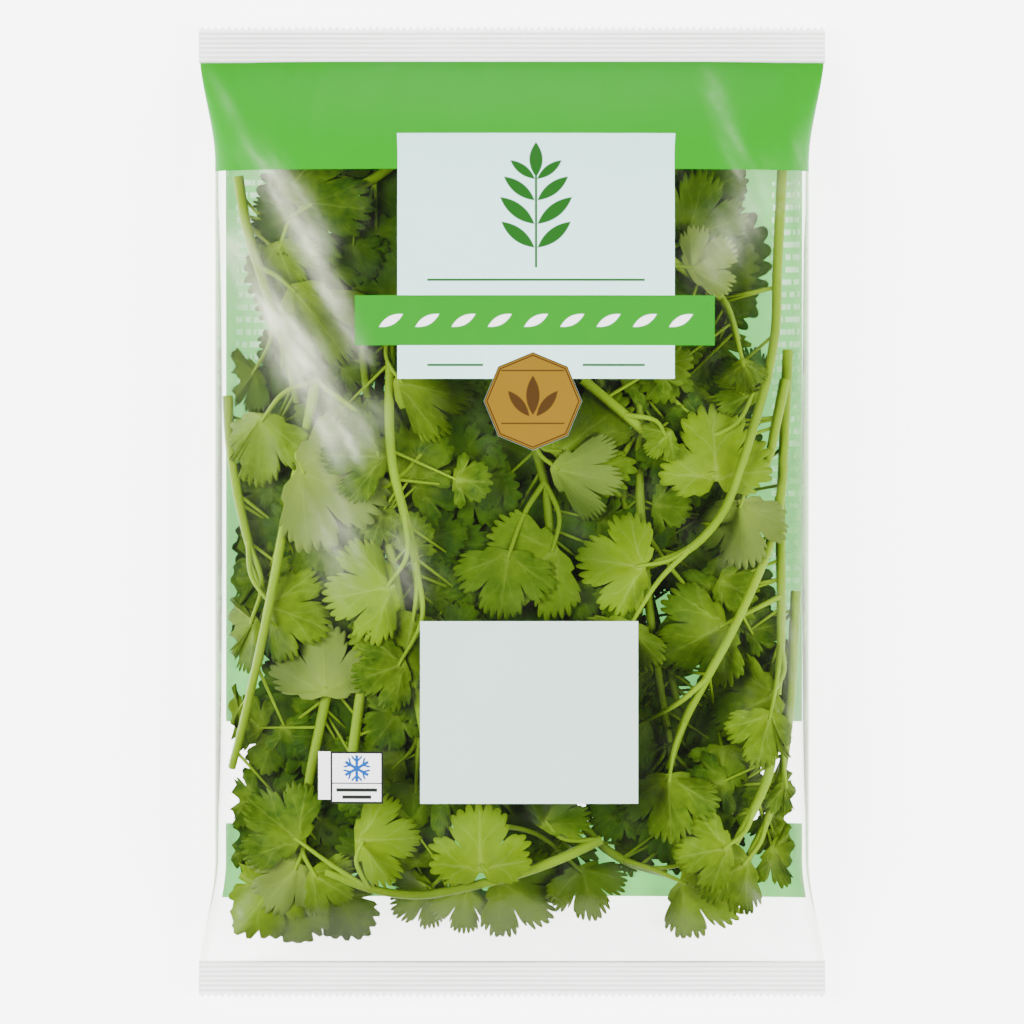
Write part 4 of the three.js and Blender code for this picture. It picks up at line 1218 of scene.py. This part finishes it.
def stalk_points(solid, stem, leaflet, hub):
    """Root, bend and end of a leaflet's stalk, as its solid has them."""
    x, y, heading = leaflet[:3]
    away = np.hypot(stem[:, 0] - x, stem[:, 1] - y)
    root = stem[max(int(np.argmin(away)) - math.ceil(STALK_SETBACK / STEM_STEP), 0)].copy()
    reach = STALK_BOW * math.hypot(root[0] - x, root[1] - y)
    middle = lerp(root[:2], np.array([x, y]), STALK_BEND)
    bend = beside(*middle, heading, -reach)
    height = solid.height(*bend, 2 * STALK_HALF, lerp(root[2], hub, STALK_BEND))
    end = (*beside(x, y, heading, STALK_INTO_BLADE), hub + STALK_LIFT)
    root[2] += ROOT_RISE
    return np.array([root, (*bend, height), end])


def stalk_curves(name, routes):
    """One curve for each stem or stalk, with its thickness at every point."""
    curves = bpy.data.curves.new(name, "CURVE")
    curves.dimensions = "3D"
    for points, radii in routes:
        spline = curves.splines.new("POLY")
        spline.points.add(len(points) - 1)
        for target, point, radius in zip(spline.points, points, radii):
            target.co = (*(v * MM for v in point), 1)
            target.radius = radius
    piece = bpy.data.objects.new(name, curves)
    bpy.context.scene.collection.objects.link(piece)
    return piece


def fine_route(points, step):
    """The curve through the points, as points that are about a step apart."""
    at, length = bowed_route(points)
    count = max(4, round(length / step))
    return np.array([at(i / count) for i in range(count + 1)])


def grown_sprig_tree():
    """Geometry nodes that grow ribbed stalks along curves and join them to the blades."""
    tree = bpy.data.node_groups.new("grown_sprig", "GeometryNodeTree")
    tree.is_modifier = True
    face = tree.interface
    given_kinds = (
        ("Geometry", "Geometry"),
        ("Stalks", "Object"),
        ("Stalk finish", "Material"),
        ("Ribs", "Int"),
        ("Rib height", "Float"),
    )
    for label, kind in given_kinds:
        face.new_socket(label, in_out="INPUT", socket_type=f"NodeSocket{kind}")
    face.new_socket("Geometry", in_out="OUTPUT", socket_type="NodeSocketGeometry")
    node = Recipe(tree).node

    def maths(operation, a, b=0.0):
        return node("ShaderNodeMath", {"operation": operation}, {0: a, 1: b}).outputs[0]

    given = node("NodeGroupInput").outputs
    info = node("GeometryNodeObjectInfo", {"transform_space": "ORIGINAL"}, {"Object": given["Stalks"]})
    along = node("GeometryNodeSplineParameter").outputs["Factor"]
    routes = node("GeometryNodeStoreNamedAttribute", {"data_type": "FLOAT", "domain": "POINT"}, {
        "Geometry": info.outputs["Geometry"], "Name": "along", "Value": along}).outputs[0]
    circle = node("GeometryNodeCurvePrimitiveCircle", values={
        "Resolution": STALK_SIDES, "Radius": MM}).outputs[0]
    position = node("GeometryNodeInputPosition").outputs[0]
    parts = node("ShaderNodeSeparateXYZ", values={0: position}).outputs
    angle = maths("ARCTAN2", parts[1], parts[0])
    rib = maths("COSINE", maths("MULTIPLY", angle, given["Ribs"]))
    scale = maths("ADD", 1.0, maths("MULTIPLY", rib, given["Rib height"]))
    moved = node("ShaderNodeVectorMath", {"operation": "SCALE"}, {0: position, "Scale": scale}).outputs[0]
    profile = node("GeometryNodeSetPosition", values={"Geometry": circle, "Position": moved}).outputs[0]
    radius = node("GeometryNodeInputRadius").outputs[0]
    swept = node("GeometryNodeCurveToMesh", values={
        "Curve": routes, "Profile Curve": profile, "Scale": radius, "Fill Caps": True}).outputs[0]
    smooth = node("GeometryNodeSetShadeSmooth", values={0: swept}).outputs[0]
    dressed = node("GeometryNodeSetMaterial", values={
        "Geometry": smooth, "Material": given["Stalk finish"]}).outputs[0]
    joined = node("GeometryNodeJoinGeometry")
    tree.links.new(dressed, joined.inputs[0])
    tree.links.new(given["Geometry"], joined.inputs[0])
    whole = node("GeometryNodeRealizeInstances", values={0: joined.outputs[0]}).outputs[0]
    node("NodeGroupOutput", values={0: whole})
    return tree


# Leaf and stem colours, and how the veins branch: where a set of them starts between the stalk at 0
# and the rim at 1, the span over which it opens, its half width in millimetres and how much it shows.
LEAF_FRESH = (0.108, 0.185, 0.002, 1)
LEAF_DEEP = (0.013, 0.040, 0.0008, 1)
LEAF_PALE = (0.125, 0.180, 0.028, 1)
LEAF_HEART = (0.170, 0.250, 0.006, 1)
LEAF_VEIN = (0.220, 0.310, 0.045, 1)
STEM_PALE = (0.165, 0.270, 0.004, 1)
STEM_GREEN = (0.090, 0.170, 0.002, 1)
STEM_STREAK = (0.230, 0.340, 0.020, 1)
# The next two colours are painted shade, laid on what lies deep in the pile.
STEM_SHADE = (0.020, 0.045, 0.001, 1)
LEAF_SHADE = (0.010, 0.034, 0.0008, 1)
LOBE_WIDTH = 1.05
MIDRIB_EDGE = (0.3, 0.4)  # here and below: where an edge lies and how wide it fades
MIDRIB_TAPER = 0.25
MIDRIB_SHOW = 0.9
VEIN_SETS = ((0.2, 0.6, 0.1, 0.6), (0.5, 0.5, 0.07, 0.35))
VEIN_PARTS = 3.0
VEIN_BOUND = (1.45, 0.05)
VEIN_OPEN = 0.02  # a set of veins is never narrower than this share of its full width
VEIN_FADE = 0.1
VEIN_EDGE = 0.16
VEIN_WANDER = 0.12
VEIN_SHOW = (0.16, 0.26)  # on a deep green leaf, and what a fresh one adds
LEAF_PATCHES = 0.8
LEAF_BLOTCHES = 0.7
LEAF_RELIEF = (0.3, 1.2, 0.3)  # of the grain, the blotches and the skin between the veins
PALE_TONE = (0.3, 0.4)
PALE_SHOW = 0.8
HEART_END = (0.25, 0.5)
HEART_SHOW = 0.35
LEAF_SHADE_SHOW = 0.75
LEAF_ROUGHNESS = 0.45
ROUGHNESS_RANGE = 0.14
STEM_PATCH = (0.5, 0.6)
STEM_PATCHES = 0.6
STEM_TIP_GREEN = 0.2
STREAK_SHOW = 0.3
STEM_SHADE_SHOW = 0.8
STEM_ROUGHNESS = 0.34


def vein_pattern(finish, out):
    """A midrib in each lobe, with two sets of side veins that each part into three."""
    reach = finish.attribute("reach")
    wander = (finish.noise(scale=300.0, detail=1.0) - 0.5) * VEIN_WANDER
    aside = (finish.attribute("lobe") + wander).fraction() - 0.5
    midrib = (abs(aside) * reach * LOBE_WIDTH + out * MIDRIB_TAPER).above(*MIDRIB_EDGE)
    veins = (1 - midrib) * MIDRIB_SHOW
    share = LOBE_WIDTH
    for start, span, half, show in VEIN_SETS:
        opened = out.above(start + span / 2, span).most(VEIN_OPEN)
        across = aside * VEIN_PARTS / opened
        aside = (across + 0.5).fraction() - 0.5
        share = share / VEIN_PARTS
        away = abs(aside) * opened * reach * share
        kept = (1 - abs(across).above(*VEIN_BOUND)) * out.above(start, VEIN_FADE)
        veins = veins.most((1 - away.above(half, VEIN_EDGE)) * kept * show)
        aside = aside * opened
    return veins


def blade_finish():
    """Leaf skin: fresh green, paler at the stalk, with branched pale veins, a crinkled face, and painted
    shade where it lies deep in the pile.
    """
    finish = Finish("coriander_blade")
    out, tone = finish.attribute("out"), finish.attribute("tone")
    patchy = finish.noise(scale=150.0, detail=3.0)
    blotch = finish.noise(scale=520.0, detail=3.0)
    grain = finish.noise(scale=1300.0)
    veins = vein_pattern(finish, out)
    underside = 1 - finish.attribute("upper").above(0.5, 0.1)
    pale = (0.0 - tone).above(*PALE_TONE).most(underside)
    uneven = (patchy - 0.5) * LEAF_PATCHES + (blotch - 0.5) * LEAF_BLOTCHES
    fresh = (tone.most(0.0) + uneven).most(0.0).least(1.0)
    colour = finish.mix(fresh, LEAF_DEEP, LEAF_FRESH)
    colour = finish.mix(pale * PALE_SHOW, colour, LEAF_PALE)
    colour = finish.mix((1 - out.above(*HEART_END)) * HEART_SHOW, colour, LEAF_HEART)
    colour = finish.mix(veins * (VEIN_SHOW[0] + fresh * VEIN_SHOW[1]), colour, LEAF_VEIN)
    # Painted shade: darker where the leaf lies deep under the front film.
    colour = finish.mix(finish.attribute("deep") * LEAF_SHADE_SHOW, colour, LEAF_SHADE)
    height = grain * LEAF_RELIEF[0] + blotch * LEAF_RELIEF[1] + (1 - veins) * LEAF_RELIEF[2]
    normal = finish.bump(height, strength=0.4, distance=0.0003)
    return finish.made(finish.body(colour, LEAF_ROUGHNESS + patchy * ROUGHNESS_RANGE, Normal=normal))


def stem_finish():
    """Stem skin: pale green ribs, streaked along their length, darker in patches, and with painted shade
    deep in the pile.
    """
    finish = Finish("coriander_stem")
    patchy = finish.noise(scale=90.0, detail=3.0)
    streak = finish.noise(scale=500.0, stretch=(1, 0.08, 1))
    greener = patchy.above(*STEM_PATCH) * STEM_PATCHES + finish.attribute("along") * STEM_TIP_GREEN
    colour = finish.mix(greener, STEM_PALE, STEM_GREEN)
    colour = finish.mix(streak * STREAK_SHOW, colour, STEM_STREAK)
    # Painted shade: darker where the stem lies deep under the front film.
    colour = finish.mix(finish.attribute("deep") * STEM_SHADE_SHOW, colour, STEM_SHADE)
    normal = finish.bump(streak, strength=0.25, distance=0.0003)
    return finish.made(finish.body(colour, STEM_ROUGHNESS, Normal=normal))


blade_material = blade_finish()
stem_material = stem_finish()
sprig_tree = grown_sprig_tree()


def modifier_input(modifier, tree, name, value):
    for item in tree.interface.items_tree:
        if item.item_type == "SOCKET" and item.in_out == "INPUT" and item.name == name:
            modifier[item.identifier] = value


# Small leaves that fill the room beside and under each stem. Where there are two numbers, a leaf's
# own is drawn between them.
SMALL_LEAVES = 34
FRONT_SMALL_LEAVES = 9
SMALL_TURN = (35, 80)  # degrees from the stem to a leaf
SMALL_AWAY = (5, 20)
SMALL_HEADING = 40
SMALL_LENGTH = (9, 15)
SMALL_SPREAD = 100
SMALL_RISE = (-3, 5)  # over its stem
SMALL_TONES = (0.1, 0.45)
SMALL_LEAF_TOP = 26.0
LEAF_ROOM = 1.4
ROOM_SHARES = (0.35, 0.7, 1.0)  # of a leaf's length, where the room over it is measured
ROOM_TURNS = range(-100, 101, 25)
SMALL_END = 90
CLEAR_ALONG = (-40, -20, 20, 40)  # past these places the small leaves keep to the bag's middle
CLEAR_LEFT = (-70, -62, -62, -56)
CLEAR_RIGHT = (67, 54, 50, 50)

# More small leaves with a place of their own: x, y, heading, length, spread, colour and height.
PLACED_LEAVES = {
    "sprig_10": (
        (-62, -97, 232, 15, 110, 0.9, 14.0),
        (-56, -99, 275, 14, 110, 0.6, 13.0),
        (-44, -99, 292, 13, 110, 0.3, 12.0),
        (-66, -74, 190, 11, 110, 0.2, 15.0),
        (-64, -84, 205, 12, 110, 0.1, 14.0),
    ),
    "sprig_11": (
        (-27, -56, 262, 14, 110, 0.2, 9.0),
        (-20, -60, 250, 14, 110, 0.1, 6.0),
    ),
    "sprig_23": (
        (43, -50, 265, 14, 110, 0.2, 9.0),
        (37, -54, 285, 14, 110, 0.1, 6.0),
    ),
}


def room_at(x, y):
    """Height under the lowest front sprig that passes over this place."""
    hit = front_pile.ray_cast(Vector((x, y, 0)), Vector((0, 0, 1)))[0]
    return SMALL_LEAF_TOP if hit is None else hit.z - LEAF_ROOM


def room_above(x, y, heading, length):
    """Height under the lowest front sprig that passes over any part of a small leaf here."""
    rooms = [room_at(x, y)]
    for share in ROOM_SHARES:
        rooms += [room_at(*beside(x, y, heading + turn, share * length)) for turn in ROOM_TURNS]
    return min(rooms)


def thin_stalk(start, end):
    middle = (start + end) / 2
    middle[2] = min(middle[2], room_at(*middle[:2]))
    stalk = inside_film(fine_route([start, middle, end], STEM_DETAIL))
    return stalk, np.linspace(*THIN_TAPER, len(stalk))


def small_leaves(fine, count, placed, draw):
    """Small finely cut leaves on short thin stalks. One that would go through the back is left out."""
    leaves, routes = [], []
    for leaf in placed:
        end = np.array([leaf[0], leaf[1], leaf[6]])
        nearest = np.argmin(np.hypot(fine[:, 0] - leaf[0], fine[:, 1] - leaf[1]))
        leaves.append(leaf)
        routes.append(thin_stalk(fine[nearest], end))
    for _ in range(count):
        at = draw.randrange(2, len(fine) - 1)
        run = fine[at + 1] - fine[at - 1]
        side = math.degrees(math.atan2(run[1], run[0])) + draw.choice((-1, 1)) * draw.uniform(*SMALL_TURN)
        x, y = beside(*fine[at][:2], side, draw.uniform(*SMALL_AWAY))
        y = clamp(y, -SMALL_END, SMALL_END)
        left, right = [np.interp(y, CLEAR_ALONG, places) for places in (CLEAR_LEFT, CLEAR_RIGHT)]
        x = clamp(x, left, right)
        heading = side + draw.uniform(-SMALL_HEADING, SMALL_HEADING)
        length = draw.uniform(*SMALL_LENGTH)
        wanted = fine[at][2] + draw.uniform(*SMALL_RISE)
        z = min(wanted, room_above(x, y, heading, length))
        tone = draw.uniform(*SMALL_TONES)
        if z < film_height(x / half_width(y), y, False) + LEAF_ROOM:
            continue
        leaves.append((x, y, heading, length, SMALL_SPREAD, tone, z))
        routes.append(thin_stalk(fine[at], np.array([x, y, z])))
    return leaves, routes


# What lies deep in the pile gets little light, and that shade is painted into the leaf and stem colours:
# how far under the front film it starts, and the distance over which it grows to the full.
DEEP_START = 13.0
DEEP_RANGE = 11.0


def build_sprig(node, stem, leaflets, make, small, seed):
    """One sprig: its blades' mesh, with the stem and stalks grown and joined on by the nodes."""
    draw = random.Random(seed)
    solid = Solid(node)
    points = stem_points(solid, stem)
    fine = fine_route(points, STEM_DETAIL)
    thick, thin = [STEM_RADIUS * share for share in STEM_TAPER]
    routes = [(fine, np.linspace(thick, thin, len(fine)))]
    for leaflet in leaflets:
        hub = corner_heights(solid, leaflet, make[0])[0]
        stalk = fine_route(stalk_points(solid, points, leaflet, hub), STALK_DETAIL)
        routes.append((stalk, np.linspace(*STALK_TAPER, len(stalk))))
    more_leaves, more_routes = small_leaves(fine, small, PLACED_LEAVES.get(node, ()), draw)
    piece = sprig_blades(f"{node}_herb", solid, [*leaflets, *more_leaves], make, draw)
    piece.data.materials.append(blade_material)
    piece.data.materials.append(stem_material)
    curves = stalk_curves(f"{node}_routes", routes + more_routes)
    grown = piece.modifiers.new("grown_sprig", "NODES")
    grown.node_group = sprig_tree
    modifier_input(grown, sprig_tree, "Stalks", curves)
    modifier_input(grown, sprig_tree, "Stalk finish", stem_material)
    modifier_input(grown, sprig_tree, "Ribs", STALK_RIBS)
    modifier_input(grown, sprig_tree, "Rib height", RIB_HEIGHT)
    evaluated = piece.evaluated_get(bpy.context.evaluated_depsgraph_get())
    mesh = bpy.data.meshes.new_from_object(evaluated)
    piece.modifiers.remove(grown)
    piece.data = mesh
    bpy.data.objects.remove(curves)
    places = np.array([vertex.co[:] for vertex in mesh.vertices]) / MM
    share = np.clip(places[:, 0] / half_width(places[:, 1]), -MOST_SHARE, MOST_SHARE)
    below = film_height(share, places[:, 1], True) - places[:, 2]
    set_attributes(piece, deep=ease((below - DEEP_START) / DEEP_RANGE))
    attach(piece, "root")
    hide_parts(node)


def pile_of(names):
    """The front sprigs' solids as one tree, for the room that they leave under them."""
    points, faces = [], []
    for name in names:
        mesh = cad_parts[name].data
        faces += [tuple(i + len(points) for i in face.vertices) for face in mesh.polygons]
        points += [vertex.co / MM for vertex in mesh.vertices]
    return BVHTree.FromPolygons(points, faces)


front_pile = pile_of([f"sprig_{INNER_SPRIGS + i + 1:02d}" for i in range(len(FRONT_SPRIGS))])
inner_draw = seeded_random(INNER_SEED)
for index in range(INNER_SPRIGS):
    stem, leaflets = inner_sprig(index, inner_draw)
    build_sprig(f"sprig_{index + 1:02d}", stem, leaflets, INNER_MAKE, SMALL_LEAVES, index)
for index, (stem, leaflets) in enumerate(FRONT_SPRIGS):
    number = INNER_SPRIGS + index
    build_sprig(f"sprig_{number + 1:02d}", stem, leaflets, FRONT_MAKE, FRONT_SMALL_LEAVES, number)


# ---- Table, light and camera -----------------------------------------------------------------------
# A plain white table top that glows evenly, two large soft lights over the bag's sides and two dim
# strips that the film mirrors. The camera looks straight down at the bag's front.
TABLE_HALF = 2000
TABLE_DROP = 0.5
TABLE_WHITE = (0.9, 0.9, 0.9, 1)
TABLE_SHADE = (0.86, 0.86, 0.86, 1)
TABLE_ROUGHNESS = 0.7
TABLE_GLOW = {"Emission Color": (1, 1, 0.99, 1), "Emission Strength": 4.0}
SKY_STRENGTH = 0.3
CAMERA_HEIGHT = 2.0
VIEW_SIDE = 0.2639  # side of the square that is seen, at the height of the seals
SENSOR = 36.0

corners = [(x * TABLE_HALF, y * TABLE_HALF, 0) for x, y in ((-1, -1), (1, -1), (1, 1), (-1, 1))]
floor = new_piece("table_top", corners, [(0, 1, 2, 3)])
floor.location.z = -TABLE_DROP * MM
table = Finish("white_table")
mottle = table.mix(table.noise(scale=3.0), TABLE_WHITE, TABLE_SHADE)
floor.data.materials.append(table.made(table.body(mottle, TABLE_ROUGHNESS, **TABLE_GLOW)))


def soft_light(name, place, size, power, mirrored):
    """An area light that faces the bag, with its size in metres and its power in watts."""
    light = bpy.data.lights.new(name, "AREA")
    light.shape = "RECTANGLE"
    light.size, light.size_y = size
    light.energy = power
    piece = bpy.data.objects.new(name, light)
    piece.location = place
    piece.rotation_euler = (-Vector(place)).to_track_quat("-Z", "Y").to_euler()
    piece.visible_glossy = mirrored
    bpy.context.scene.collection.objects.link(piece)


soft_light("left_softbox", (-0.85, 0.1, 1.1), (0.5, 1.0), 50, mirrored=False)
soft_light("right_softbox", (0.9, -0.2, 1.0), (0.4, 1.0), 40, mirrored=False)
soft_light("left_strip", (-1.1, 0.1, 0.55), (0.15, 1.2), 5, mirrored=True)
soft_light("right_strip", (1.1, 0.2, 0.5), (0.12, 1.2), 5, mirrored=True)

world = bpy.data.worlds.new("studio")
world.use_nodes = True
sky = world.node_tree.nodes["Background"]
sky.inputs["Color"].default_value = (1, 1, 1, 1)
sky.inputs["Strength"].default_value = SKY_STRENGTH
bpy.context.scene.world = world

lens = bpy.data.cameras.new("camera")
lens.sensor_width = SENSOR
lens.lens = SENSOR * (CAMERA_HEIGHT - SEAL_HEIGHT * MM) / VIEW_SIDE
camera = bpy.data.objects.new("camera", lens)
camera.location = (0, 0, CAMERA_HEIGHT)
bpy.context.scene.collection.objects.link(camera)
bpy.context.scene.camera = camera
